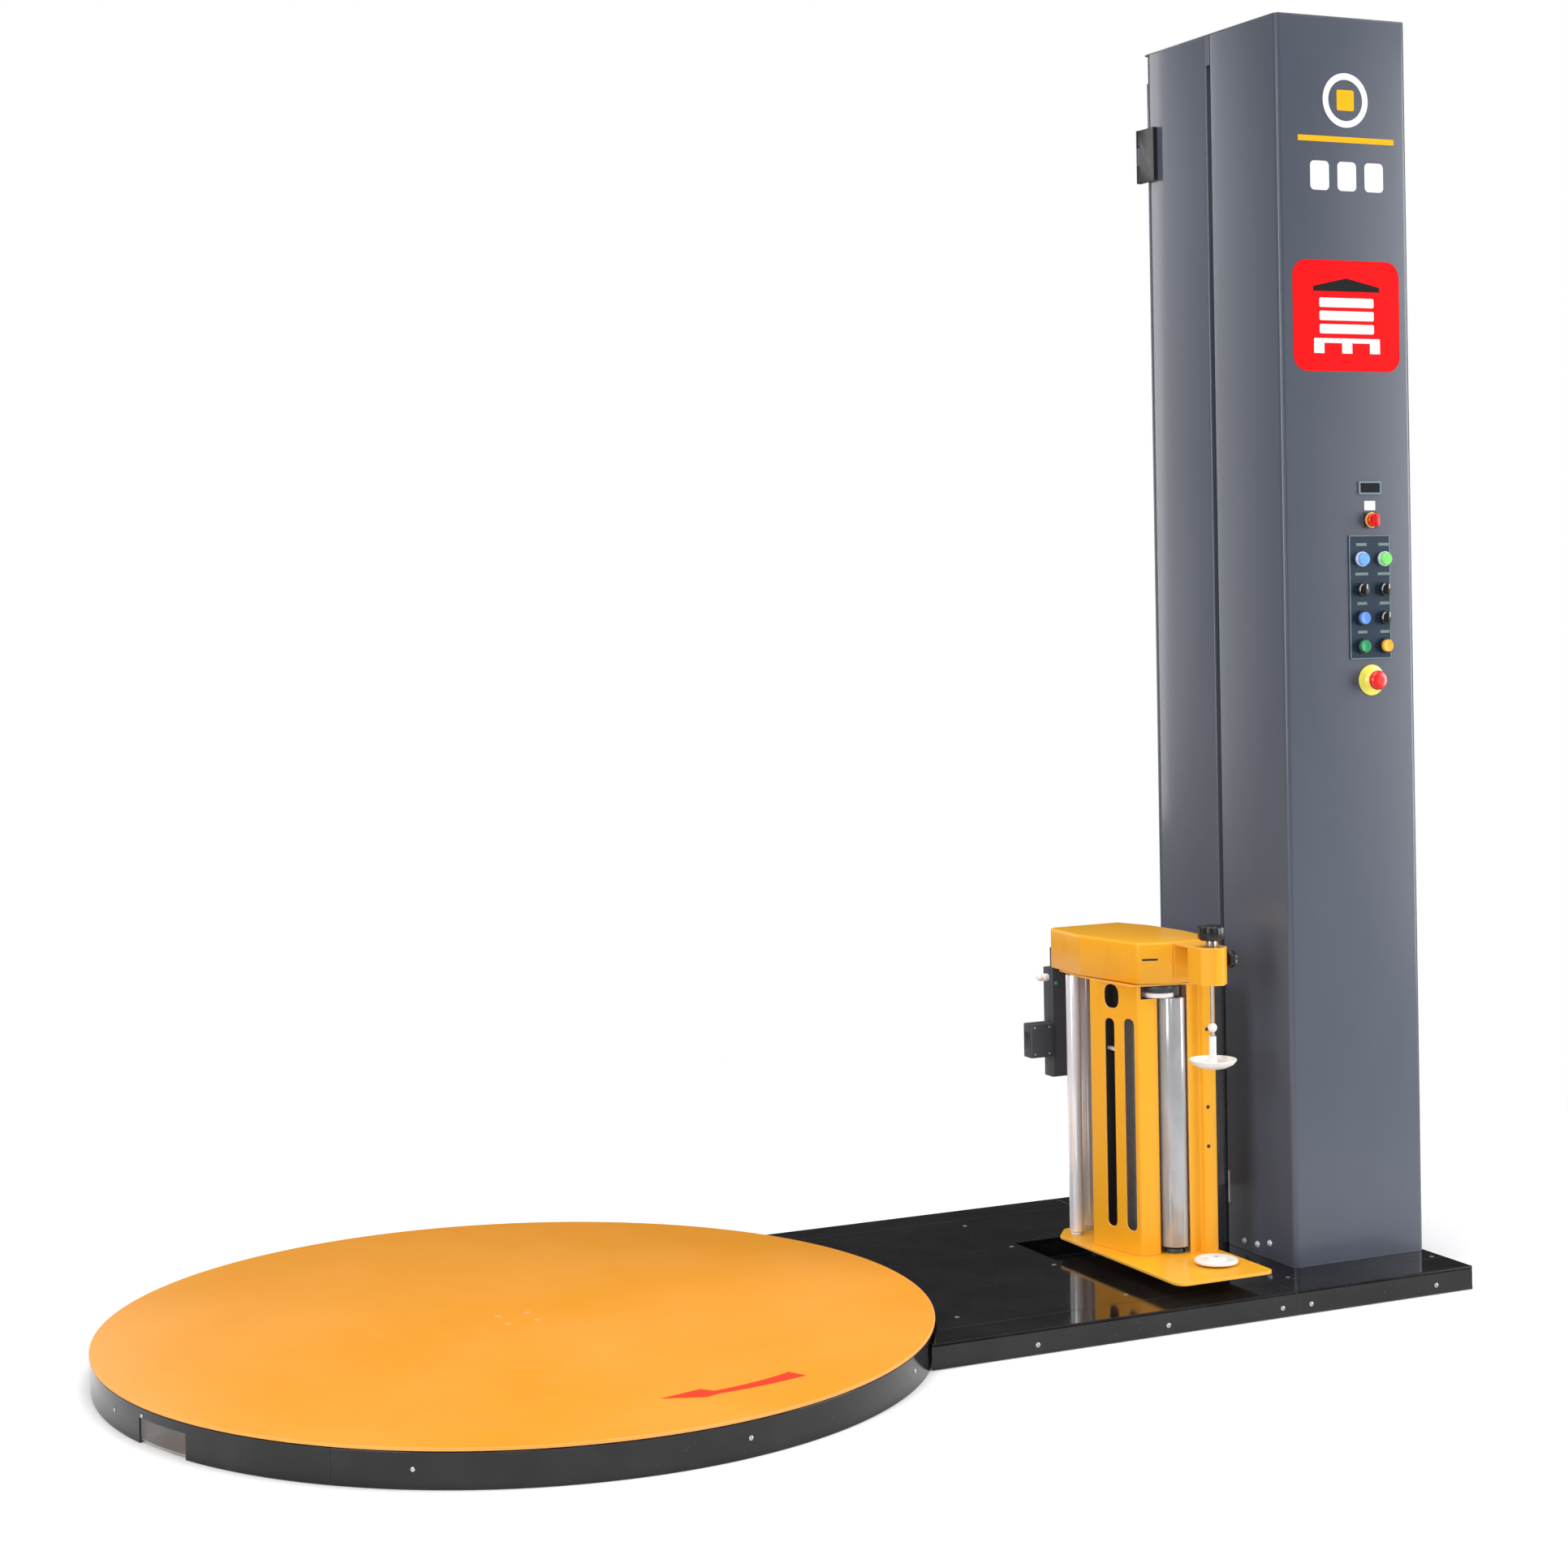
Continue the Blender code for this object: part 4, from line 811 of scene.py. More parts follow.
class WRAPPER_OT_rim(bpy.types.Operator):
    """Build the four strips around the turntable, their bolts and the lined foot pocket"""

    bl_idname = "wrapper.rim"
    bl_label = "Rim"

    def execute(self, context):
        gap = math.degrees(0.0004 / RIM_RADIUS)
        names = ("skirt_mast_side", "skirt_back", "skirt_left", "skirt_front")
        for name, start, end in zip(names, RIM_SEAMS, RIM_SEAMS[1:]):
            steps = round(end - start)
            outline = arc((0, 0), RIM_RADIUS, start + gap, end - gap, steps)
            outline += arc((0, 0), RIM_RADIUS - RIM_SHEET, end - gap, start + gap, steps)
            strip = prism(outline, 0.0, RIM_HEIGHT)
            if name == "skirt_left":
                notch = arc((0, 0), RIM_RADIUS + 0.02, *NOTCH_ANGLES, 4)
                notch += arc((0, 0), RIM_RADIUS - 0.02, *reversed(NOTCH_ANGLES), 4)
                strip = combined(strip, prism(notch, -0.01, NOTCH_HEIGHT), "DIFFERENCE")
            piece(f"{name}_finished", strip, "black_gloss", "root", (name,), sizes().sheet_edge)
        bolts = []
        for angle, height in ((-163.7, 0.051), (-121.7, 0.035), (-80.0, 0.035), (-45.0, 0.035), (45.0, 0.035),
                              (84.0, 0.035), (125.0, 0.035), (165.0, 0.035), (188.0, 0.035)):
            place = Matrix.Rotation(math.radians(angle), 4, "Z") @ at(RIM_RADIUS, 0, height)
            bolts.append(moved(socket_screw(0.0045, 0.0022), place @ Matrix.Rotation(math.pi / 2, 4, "Y")))
        piece("rim_bolts", together(bolts), "steel", "root")
        self.make_pocket()
        return {"FINISHED"}

    def make_pocket(self):
        """A bent zinc liner behind the notch, where a lifting bar's foot goes in."""
        outer = RIM_RADIUS - RIM_SHEET - 0.001
        start, end = NOTCH_ANGLES
        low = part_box("floor_plate")[0].z + 0.0045
        floor = arc((0, 0), outer, start - 0.5, end + 0.5, 12) + arc((0, 0), outer - 0.070, end + 0.5,
                                                                     start - 0.5, 12)
        wall = arc((0, 0), outer - 0.070, start - 0.5, end + 0.5, 12)
        wall += arc((0, 0), outer - 0.0715, end + 0.5, start - 0.5, 12)
        sides = []
        for angle in (start - 0.55, end + 0.4):
            sides.append(prism(arc((0, 0), outer, angle, angle + 0.15, 1)
                               + arc((0, 0), outer - 0.0705, angle + 0.15, angle, 1), low, NOTCH_HEIGHT))
        shapes = [prism(floor, low, low + 0.0012), prism(wall, low + 0.0012, NOTCH_HEIGHT), *sides]
        piece("foot_pocket", together(shapes), "zinc", "root")


# ---- Deck -------------------------------------------------------------------------------------
class WRAPPER_OT_deck(bpy.types.Operator):
    """Build the deck cover, its side rails and end rail, and their screws"""

    bl_idname = "wrapper.deck"
    bl_label = "Deck"

    def execute(self, context):
        edge = sizes().plate_edge
        refined("deck_cover", edge)
        refined("end_rail", edge)
        joint_x = 1.509
        for name in ("side_rail_front", "side_rail_back"):
            low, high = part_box(name)
            saw = box((joint_x - 0.0004, low.y - 0.01, low.z - 0.01),
                      (joint_x + 0.0004, high.y + 0.01, high.z + 0.01))
            rail = combined(frame_shape(name), saw, "DIFFERENCE")
            piece(f"{name}_finished", rail, "black_gloss", "root", (name,), sizes().sheet_edge)
        self.make_tray()
        head = sizes().screw_head
        inner = DECK_HALF_WIDTH - 0.146
        spots = [(1.188, 0.124), (0.806, -0.333), (0.806, 0.333), (1.191, -inner), (1.191, inner),
                 (1.56, -0.385),
                 (1.56, 0.385), (1.93, -0.385), (1.93, 0.385), (1.188, -0.060), (1.438, 0.124)]
        screws = [moved(flush_screw(head, 0.0005), at(*spot, DECK_TOP)) for spot in spots]
        piece("deck_screws", together(screws), "steel", "root")
        side = []
        for x in (0.90, 1.20, 1.474, 1.544, 1.86):
            side.append(moved(socket_screw(0.0050, 0.0024), facing_front(x, -DECK_HALF_WIDTH, 0.020)))
            side.append(moved(socket_screw(0.0050, 0.0024), facing_back(x, DECK_HALF_WIDTH, 0.020)))
        piece("rail_screws", together(side), "steel", "root")
        return {"FINISHED"}

    def make_tray(self):
        """A black tray beneath the opening in the deck."""
        low, high = (1.206, -0.040), (1.418, 0.160)
        outline = rounded(rectangle(low, high), 0.006, 3)
        under = DECK_TOP - 0.0044
        tray = loft([level(inset(outline, 0.0015), 0.0050), level(inset(outline, 0.0015), under),
                     level(outline, under), level(outline, 0.0035)])
        piece("deck_tray", tray, "black_gloss", "root")


# ---- Mast -------------------------------------------------------------------------------------
class WRAPPER_OT_mast(bpy.types.Operator):
    """Build the mast's folded shells, its cap and its bolts"""

    bl_idname = "wrapper.mast"
    bl_label = "Mast"

    def execute(self, context):
        left, front = MAST_LOW.x, MAST_LOW.y
        right, back = MAST_HIGH.x, MAST_HIGH.y
        low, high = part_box("mast_front_shell")[0].z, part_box("mast_front_shell")[1].z
        edge = SLOT_Y - SLOT_HALF_WIDTH
        path = [(left + SLOT_FOLD, edge), (left, edge), (left, front), (right, front), (right, front + 0.030)]
        self.shell("mast_front_shell", path, [SLOT_BEND, MAST_BEND, MAST_BEND], low, high)
        edge = SLOT_Y + SLOT_HALF_WIDTH
        path = [(left + 0.060, back), (left, back), (left, edge), (left + SLOT_FOLD, edge)]
        self.shell("mast_back_shell", path, [MAST_BACK_BEND, SLOT_BEND], low, high)
        path = [(right, front + 0.030 + 2 * GAP), (right, back), (right - 0.060, back)]
        self.shell("mast_side_panel", path, [MAST_BEND], low, high)
        refined("mast_cap", 0.0009)
        bolts = [moved(hex_bolt(0.0048, 0.0050), facing_table(left, y, z))
                 for y, z in ((-0.148, 0.070), (-0.197, 0.073), (-0.243, 0.085))]
        piece("mast_bolts", together(bolts), "chrome", "root")
        # A thin white strip on the mast's side, just in front of the slot.
        strip = prism(rounded(rectangle((-0.0030, 0.0), (0.0030, 0.070)), 0.0015), 0.0, 0.0008)
        turn = Matrix.Rotation(-math.pi / 2, 4, "Z")
        piece("slot_marker", moved(strip, facing_table(left, SLOT_Y - 0.015, 0.143) @ turn), "white_film",
              "root")
        return {"FINISHED"}

    def shell(self, name, path, bends, low, high):
        """One folded sheet. The bends at the slot's lips are tighter than those at the corners."""
        outline = folded(path, MAST_SHEET, bends)
        piece(f"{name}_finished", prism(outline, low, high), "mast_grey", "root", (name,), 0.0005, 1, 30)


class WRAPPER_OT_door(bpy.types.Operator):
    """Build the rear service door with its louvres and locks, and its two hinges"""

    bl_idname = "wrapper.door"
    bl_label = "Rear door"

    def execute(self, context):
        refined("rear_door", sizes().sheet_edge)
        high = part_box("rear_door")[1]
        middle = (MAST_LOW.x + MAST_HIGH.x) / 2
        face = high.y
        louvres = []
        for base in (0.22, high.z - 0.46):
            for row in range(9):
                louvres.append(self.louvre(middle, face, base + 0.026 * row))
        piece("door_louvres", together(louvres), "mast_grey", "door", sharp=40)
        locks, slots = [], []
        for z in (0.62, 1.36, 2.10):
            spot = facing_back(MAST_HIGH.x - 0.030, face, z)
            locks.append(moved(turned(softened([(0.0, -0.0005), (0.0150, -0.0005), (0.0150, 0.0030),
                                                (0.0105, 0.0045),
                                                (0.0, 0.0045)], 0.0010)), spot))
            slots.append(moved(prism(rounded(rectangle((-0.0085, -0.0016), (0.0085, 0.0016)), 0.0014),
                                     0.0040, 0.0056),
                               spot))
        piece("door_locks", together(locks), "chrome", "door")
        piece("door_lock_keys", together(slots), "black_plastic", "door", bevel=0.0003)
        for name in ("door_hinge_bottom", "door_hinge_top"):
            refined(name, 0.0008)
        return {"FINISHED"}

    def louvre(self, x, face, z):
        """A pressed louvre, open below and closed at its ends."""
        half, height, out = 0.075, 0.013, 0.0065
        loops = []
        steps = 14
        for i in range(steps + 1):
            along = -1 + 2 * i / steps
            swell = max(1 - abs(along) ** 6, 0.02)
            loops.append([(x + along * half, face + y * swell, z + up) for y, up in
                          ((-0.0004, height), (out * 0.45 - 0.0002, height * 0.72),
                           (out * 0.9, height * 0.25),
                           (out, 0.0), (out - 0.0012, 0.0), (-0.0004, 0.001))])
        return loft(loops)


class WRAPPER_OT_lift(bpy.types.Operator):
    """Build the lift inside the mast: its column, chain and gearmotor, with the gearmotor's fins"""

    bl_idname = "wrapper.lift"
    bl_label = "Lift"

    def execute(self, context):
        refined("guide_column", sizes().sheet_edge)
        refined("lift_gearmotor", sizes().plate_edge)
        self.make_chain()
        self.make_fins()
        return {"FINISHED"}

    def make_chain(self):
        """Link plates and rollers at an even pitch around both sprockets."""
        low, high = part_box("lift_chain")
        wheel_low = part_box("lift_sprocket_bottom")
        x = (wheel_low[0].x + wheel_low[1].x) / 2
        y = (low.y + high.y) / 2
        radius = (high.x - low.x) / 2 - 0.0025
        bottom = low.z + 0.0025 + radius
        top = high.z - 0.0025 - radius
        straight = top - bottom
        whole = 2 * straight + 2 * math.pi * radius
        count = 2 * round(whole / sizes().chain_pitch / 2)
        shapes = []
        for i in range(count):
            spot, heading = self.on_loop((i + 0.5) * whole / count, x, bottom, straight, radius)
            outer = 0.0036 if i % 2 == 0 else 0.0026
            turn = at(spot[0], y, spot[1]) @ Matrix.Rotation(-heading, 4, "Y")
            half = whole / count / 2
            for side in (-1, 1):
                plate = prism(rounded(rectangle((-half - 0.002, -0.0023), (half + 0.002, 0.0023)), 0.0021, 2),
                              side * outer - 0.0004, side * outer + 0.0004)
                shapes.append(moved(plate, turn @ Matrix.Rotation(math.pi / 2, 4, "X")))
            pin = prism(arc((half, 0), 0.0017, 0, 315, 7), -0.0024, 0.0024)
            shapes.append(moved(pin, turn @ Matrix.Rotation(math.pi / 2, 4, "X")))
        piece("lift_chain_links", together(shapes), "steel", "root", ("lift_chain",))

    def on_loop(self, travelled, x, bottom, straight, radius):
        """The place (x, z) and the heading at a distance along the chain's loop."""
        if travelled < straight:
            return (x - radius, bottom + travelled), math.pi / 2
        travelled -= straight
        if travelled < math.pi * radius:
            angle = math.pi - travelled / radius
            return (x + radius * math.cos(angle),
                    bottom + straight + radius * math.sin(angle)), angle - math.pi / 2
        travelled -= math.pi * radius
        if travelled < straight:
            return (x + radius, bottom + straight - travelled), -math.pi / 2
        angle = -(travelled - straight) / radius
        return (x + radius * math.cos(angle), bottom + radius * math.sin(angle)), angle - math.pi / 2

    def make_fins(self):
        """Cooling fins around the gearmotor's body."""
        low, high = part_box("lift_gearmotor")
        x = (low.x + high.x) / 2
        axis_y = low.y + 0.0730
        fins = [moved(turned(softened([(0.0415, -0.001), (0.0455, -0.001), (0.0455, 0.001), (0.0415, 0.001),
                                       (0.0415, -0.001)], 0.0003), 48),
                      at(x, axis_y, low.z + 0.030 + 0.012 * i))
                for i in range(14)]
        piece("lift_motor_fins", together(fins), "motor_grey", "root")


# ---- Marks and controls -----------------------------------------------------------------------
def flat_mark(name, outlines, finish_name, thickness=0.0005, depth=0.0):
    """Vinyl shapes on the mast's front, from outlines of (x, z) points."""
    shapes = [moved(prism(outline, 0.0, thickness), facing_front(0.0, FRONT_FACE - depth, 0.0))
              for outline in outlines]
    return piece(name, together(shapes), finish_name, "root")


class WRAPPER_OT_marks(bpy.types.Operator):
    """Build the ring, bar, tiles and sticker on the mast's front"""

    bl_idname = "wrapper.marks"
    bl_label = "Marks"

    def execute(self, context):
        flat_mark("mark_bar", [rectangle((1.667, 2.433), (1.914, 2.445))], "yellow_film")
        middle = (1.790, 2.523)
        ring = arc(middle, 0.058, -89.9, 269.9, 48) + arc(middle, 0.044, 269.9, -89.9, 48)
        flat_mark("mark_ring", [ring], "white_film")
        flat_mark("mark_load", [rounded(rectangle((middle[0] - 0.022, middle[1] - 0.022),
                                                  (middle[0] + 0.022, middle[1] + 0.022)), 0.004)],
                  "yellow_film")
        tiles = [rounded(rectangle((1.697 + 0.070 * i, 2.330), (1.745 + 0.070 * i, 2.392)),
                         0.010) for i in range(3)]
        flat_mark("mark_tiles", tiles, "white_film")
        self.make_sticker()
        return {"FINISHED"}

    def make_sticker(self):
        """A red rounded square with a plain picture of a wrapped load on its pallet."""
        low, high = (1.6475, 1.946), (1.922, 2.182)
        flat_mark("sticker", [rounded(rectangle(low, high), 0.034, 10)], "red_film", 0.0006)
        middle = (low[0] + high[0]) / 2
        base = low[1] + 0.038
        pallet = [rounded(rectangle((middle - 0.085, base + 0.022), (middle + 0.085, base + 0.032)), 0.003)]
        pallet += [rectangle((middle + x - 0.013, base),
                             (middle + x + 0.013, base + 0.022)) for x in (-0.072, 0, 0.072)]
        load = [rounded(rectangle((middle - 0.070, base + 0.042 + 0.028 * row),
                                  (middle + 0.070, base + 0.062 + 0.028 * row)), 0.004) for row in range(3)]
        flat_mark("sticker_load", pallet + load, "white_film", 0.0004, 0.0006)
        cap = [[(middle - 0.085, base + 0.132), (middle + 0.085, base + 0.132),
                (middle + 0.085, base + 0.142),
                (middle, base + 0.160), (middle - 0.085, base + 0.142)]]
        flat_mark("sticker_cover", cap, "black_film", 0.0004, 0.0006)


class WRAPPER_OT_controls(bpy.types.Operator):
    """Build the control plate with its border, label strips and button rings"""

    bl_idname = "wrapper.controls"
    bl_label = "Control plate"

    def execute(self, context):
        low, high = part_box("control_plate")
        outline = rounded(rectangle((low.x, low.z), (high.x, high.z)), 0.004)
        plate = moved(prism(outline, 0.0, CONTROL_SHEET), facing_front(0.0, FRONT_FACE - GAP, 0.0))
        piece("control_plate_finished", plate, "panel_blue", "root", ("control_plate",), 0.0004)
        border = prism(inset(outline, 0.0002), 0.0, 0.0003)
        border = combined(border, prism(inset(outline, 0.0022), -0.001, 0.001), "DIFFERENCE")
        piece("control_border", moved(border, facing_front(0.0, CONTROL_FACE, 0.0)), "pale_film", "root")
        strips = []
        for x in CONTROL_COLUMNS:
            for z, half in zip((1.577, 1.514, 1.451, 1.390), (0.0135, 0.0165, 0.0125, 0.0120)):
                strips.append(prism(rectangle((x - half, z - 0.0030), (x + half, z + 0.0030)), 0.0, 0.0002))
        piece("control_labels", moved(together(strips), facing_front(0.0, CONTROL_FACE, 0.0)), "grey_film",
              "root")
        bright, dark = [], []
        for name in BUTTONS:
            x, z = button_place(name)
            ring = softened([(0.0136, 0.0), (0.0160, 0.0), (0.0156, 0.0060), (0.0146, 0.0066),
                             (0.0136, 0.0062),
                             (0.0136, 0.0)], 0.0003)
            (bright if name in LIT_BUTTONS else dark).append(moved(turned(ring, 48),
                                                                   facing_front(x, CONTROL_FACE, z)))
        piece("button_rings_bright", together(bright), "chrome", "root")
        piece("button_rings_dark", together(dark), "black_plastic", "root")
        return {"FINISHED"}


CONTROL_COLUMNS = (1.812, 1.870)
BUTTONS = ("start_button", "lamp_button", "pause_button", "cycle_button", "reset_button")
LIT_BUTTONS = ("start_button", "lamp_button")
KNOBS = ("speed_knob", "tension_knob", "mode_knob")


def button_place(name):
    """The middle of a button or knob on the front of the mast, as (x, z)."""
    low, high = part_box(name)
    return (low.x + high.x) / 2, (low.z + high.z) / 2


class WRAPPER_OT_buttons(bpy.types.Operator):
    """Build the five push buttons"""

    bl_idname = "wrapper.buttons"
    bl_label = "Push buttons"

    def execute(self, context):
        for name in BUTTONS:
            x, z = button_place(name)
            top = CONTROL_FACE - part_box(name)[0].y
            cap = softened([(0.0, 0.004), (0.0129, 0.004), (0.0129, top - 0.0022), (0.0112, top - 0.0006),
                            (0.0100, top - 0.0012),
                            (0.0, top - (0.0002 if name in LIT_BUTTONS else 0.0018))], 0.0006)
            piece(f"{name}_finished", moved(turned(cap), facing_front(x, CONTROL_FACE, z)),
                  SLOT_OF_NODE[name],
                  BODY_OF_NODE[name], (name,))
        return {"FINISHED"}


class WRAPPER_OT_knobs(bpy.types.Operator):
    """Build the three selector knobs with their white pointers"""

    bl_idname = "wrapper.knobs"
    bl_label = "Knobs"

    def execute(self, context):
        for name in KNOBS:
            x = button_place(name)[0]
            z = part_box(name)[0].z + KNOB_RISE
            spot = facing_front(x, CONTROL_FACE, z)
            base = turned(softened([(0.0, GAP), (0.0145, GAP), (0.0142, 0.0078), (0.0122, 0.0098),
                                    (0.0, 0.0098)],
                                   0.0008))
            grip = loft([level(rounded(rectangle((-half, -0.0118 * share), (half, 0.0123 * share)), 0.0020),
                               height)
                         for half, share, height in ((0.0042, 1.0, 0.0070), (0.0036, 0.97, 0.0150),
                                                     (0.0032, 0.94, 0.0182), (0.0022, 0.90, 0.0190))])
            piece(f"{name}_finished", moved(together([base, grip]), spot), "black_plastic",
                  BODY_OF_NODE[name], (name,))
            pointer = prism(rectangle((-0.0009, 0.0010), (0.0009, 0.0112)), 0.0188, 0.0192)
            arc_mark = arc((0.0, 0.0), 0.0126, 105, 195, 12) + arc((0.0, 0.0), 0.0108, 195, 105, 12)
            marks = together([pointer, prism(arc_mark, 0.0092, 0.0100)])
            piece(f"{name}_pointer", moved(marks, spot), "white_film", BODY_OF_NODE[name])
        ticks = []
        for name in KNOBS:
            x = button_place(name)[0]
            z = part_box(name)[0].z + KNOB_RISE
            for angle in range(-135, 136, 27):
                turn = at(x, CONTROL_FACE, z) @ Matrix.Rotation(math.radians(angle), 4, "Y")
                tick = prism(rectangle((-0.0004, 0.0160), (0.0004, 0.0178)), 0.0, 0.0002)
                ticks.append(moved(tick, turn @ Matrix.Rotation(math.pi / 2, 4, "X")))
        piece("knob_scales", together(ticks), "pale_film", "root")
        return {"FINISHED"}


class WRAPPER_OT_main_switch(bpy.types.Operator):
    """Build the main switch with its plate and label, and the counter above it"""

    bl_idname = "wrapper.main_switch"
    bl_label = "Main switch"

    def execute(self, context):
        x, z = button_place("main_switch_handle")
        spot = facing_front(x, FRONT_FACE - GAP, z)
        body = prism(rounded(rectangle((-0.0190, -0.0175), (0.0150, 0.0175)), 0.0030), 0.0, 0.0020)
        piece("switch_plate", moved(body, spot), "black_plastic", "root", bevel=0.0004)
        disc = turned(softened([(0.0, 0.0020), (0.0165, 0.0020), (0.0165, 0.0034), (0.0, 0.0034)], 0.0004))
        piece("switch_disc", moved(disc, spot), "signal_yellow", "root")
        dial = turned(softened([(0.0, 0.004), (0.0148, 0.004), (0.0148, 0.0115), (0.0130, 0.0138),
                                (0.0, 0.0138)],
                               0.0010))
        grip = loft([level(rounded(rectangle((-half, -0.0137 * share), (half, 0.0137 * share)), 0.0024),
                           height)
                     for half, share, height in ((0.0047, 1.0, 0.0120), (0.0040, 0.98, 0.0215),
                                                 (0.0036, 0.94, 0.0250),
                                                 (0.0024, 0.88, 0.0260))])
        piece("main_switch_finished", moved(together([dial, grip]), spot), "signal_red", "main_switch",
              ("main_switch_handle",))
        flat_mark("switch_label", [rounded(rectangle((1.823, 1.6500), (1.851, 1.6700)), 0.0015)],
                  "white_film")
        window = rounded(rectangle((1.812, 1.688), (1.862, 1.708)), 0.002)
        border = combined(prism(rounded(rectangle((1.808, 1.684), (1.866, 1.712)), 0.003), 0.0, 0.0030),
                          prism(inset(window, -0.0003), 0.0010, 0.010), "DIFFERENCE")
        front = facing_front(0.0, FRONT_FACE - GAP, 0.0)
        piece("counter_frame", moved(border, front), "pale_film", "root", bevel=0.0004)
        piece("counter_window", moved(prism(window, 0.0010, 0.0022), front), "dark_glass", "root",
              bevel=0.0003)
        return {"FINISHED"}


class WRAPPER_OT_emergency_stop(bpy.types.Operator):
    """Build the emergency stop's round plate and its mushroom button"""

    bl_idname = "wrapper.emergency_stop"
    bl_label = "Emergency stop"

    def execute(self, context):
        x, z = button_place("stop_collar")
        spot = facing_front(x, FRONT_FACE - GAP, z)
        plate = softened([(0.0, 0.0), (0.0330, 0.0), (0.0330, 0.0022), (0.0200, 0.0050), (0.0150, 0.0118),
                          (0.0126, 0.0118), (0.0126, 0.0030), (0.0, 0.0030)], 0.0012, 4)
        piece("stop_collar_finished", moved(turned(plate, 96), spot), "signal_yellow", "root",
              ("stop_collar",))
        mushroom = softened([(0.0, 0.0100), (0.0110, 0.0100), (0.0110, 0.0188), (0.0208, 0.0196),
                             (0.0208, 0.0268),
                             (0.0172, 0.0318), (0.0095, 0.0334), (0.0, 0.0334)], 0.0022, 5)
        piece("stop_button_finished", moved(turned(mushroom, 96), spot), "signal_red", "emergency_stop",
              ("stop_button",))
        return {"FINISHED"}


# ---- Film carriage ----------------------------------------------------------------------------
class WRAPPER_OT_carriage(bpy.types.Operator):
    """Build the carriage's plates, column, trolley and small brackets"""

    bl_idname = "wrapper.carriage"
    bl_label = "Carriage"

    def execute(self, context):
        for name in ("carriage_floor", "carriage_side_panel", "carriage_frame", "film_arm"):
            refined(name, sizes().sheet_edge)
        refined("carriage_trolley", 0.0010)
        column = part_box("carriage_frame")
        holes = [moved(socket_screw(0.0040, 0.0018),
                       facing_front(column[1].x - COLUMN_SCREW_INSET, column[0].y, z))
                 for z in (0.558, 0.393, 0.310)]
        piece("column_screws", together(holes), "black_plastic", "carriage")
        floor_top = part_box("carriage_floor")[1].z
        bolts = [moved(socket_screw(0.0048, 0.0026), at(x, y, floor_top)) for x, y in
                 ((1.474, -0.222), (1.472, 0.030), (1.330, -0.150), (1.312, -0.080), (1.440, 0.065))]
        piece("floor_bolts", together(bolts), "steel", "carriage")
        self.make_guides()
        return {"FINISHED"}

    def make_guides(self):
        """Behind the side panel a cheek, a plate and two clips; under the hood a hub and washer."""
        low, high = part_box("carriage_side_panel")
        base, top = low.z + 0.002, high.z - 0.006
        cheek = folded([(1.3560, -0.0610), (1.3120, -0.0610), (1.3285, -0.1210)], 0.003, 0.004)
        piece("guide_cheek", prism(cheek, base, top), "black_plastic", "carriage", bevel=0.0005)
        plate = folded([(1.3290, -0.1240), (1.3480, -0.1980), (1.3620, -0.1980)], 0.002, 0.003)
        piece("guide_plate", prism(plate, base, top), "motor_grey", "carriage", bevel=0.0005)
        clips = [prism(rounded(rectangle((1.3120, -0.128), (1.3300, -0.088)), 0.003), z, z + height)
                 for z, height in ((0.5830, 0.0120), (0.5050, 0.0065))]
        piece("guide_clips", together(clips), "white_nylon", "carriage", bevel=0.0010)
        hub = softened([(0.0, 0.6390), (0.0300, 0.6390), (0.0300, 0.6440), (0.0330, 0.6450), (0.0330, 0.6520),
                        (0.0310, 0.6534), (0.0, 0.6534)], 0.0010)
        piece("drive_hub", moved(turned(hub), at(*DRIVE_HUB_PLACE)), "slate_plastic", "carriage")
        washer = softened([(0.0, 0.6280), (0.0350, 0.6280), (0.0350, 0.6375), (0.0, 0.6375)], 0.0012)
        piece("drive_washer", moved(turned(washer), at(*DRIVE_HUB_PLACE)), "white_nylon", "carriage")


class WRAPPER_OT_hood(bpy.types.Operator):
    """Build the carriage's hood with its rounded top, its slot and its screws"""

    bl_idname = "wrapper.hood"
    bl_label = "Hood"

    def execute(self, context):
        low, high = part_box("carriage_hood")
        corners = [(1.3100, -0.2190), (1.3800, -0.2440), (1.5000, -0.2430), (1.5120, -0.0870),
                   (1.4980, 0.0300),
                   (1.4660, 0.1120), (1.2870, 0.1080), (1.2770, -0.0380)]
        outline = rounded(corners, 0.012, 8)
        edge = sizes().hood_edge
        inner = inset(outline, 0.0045)
        loops = [level(inner, high.z - MAST_SHEET), level(inner, low.z), level(inset(outline, 0.0006), low.z),
                 level(outline, low.z + 0.0006), level(outline, high.z - edge)]
        steps = 6
        for i in range(1, steps + 1):
            angle = math.pi / 2 * i / steps
            loops.append(level(inset(outline, edge * (1 - math.cos(angle))),
                               high.z - edge + edge * math.sin(angle)))
        piece("hood_finished", loft(loops), "carriage_yellow", "carriage", ("carriage_hood",), sharp=50)
        first, second = Vector(corners[0]), Vector(corners[1])
        along = (second - first).normalized()
        middle = first.lerp(second, 0.36)
        turn = Matrix.Rotation(math.atan2(along.y, along.x), 4, "Z")
        slot = prism(rounded(rectangle((-0.017, -0.0020), (0.017, 0.0020)), 0.0015), -0.0004, 0.0004)
        place = at(middle.x, middle.y, 0.711) @ turn @ Matrix.Rotation(math.pi / 2, 4, "X")
        piece("hood_slot", moved(slot, place), "black_plastic", "carriage")
        screws = []
        for x, y in ((1.330, -0.170), (1.470, -0.205), (1.330, 0.080), (1.455, 0.070)):
            screws.append(moved(socket_screw(0.0045, 0.0020), at(x, y, high.z - 0.0022)))
        piece("hood_screws", together(screws), "steel", "carriage")
        return {"FINISHED"}


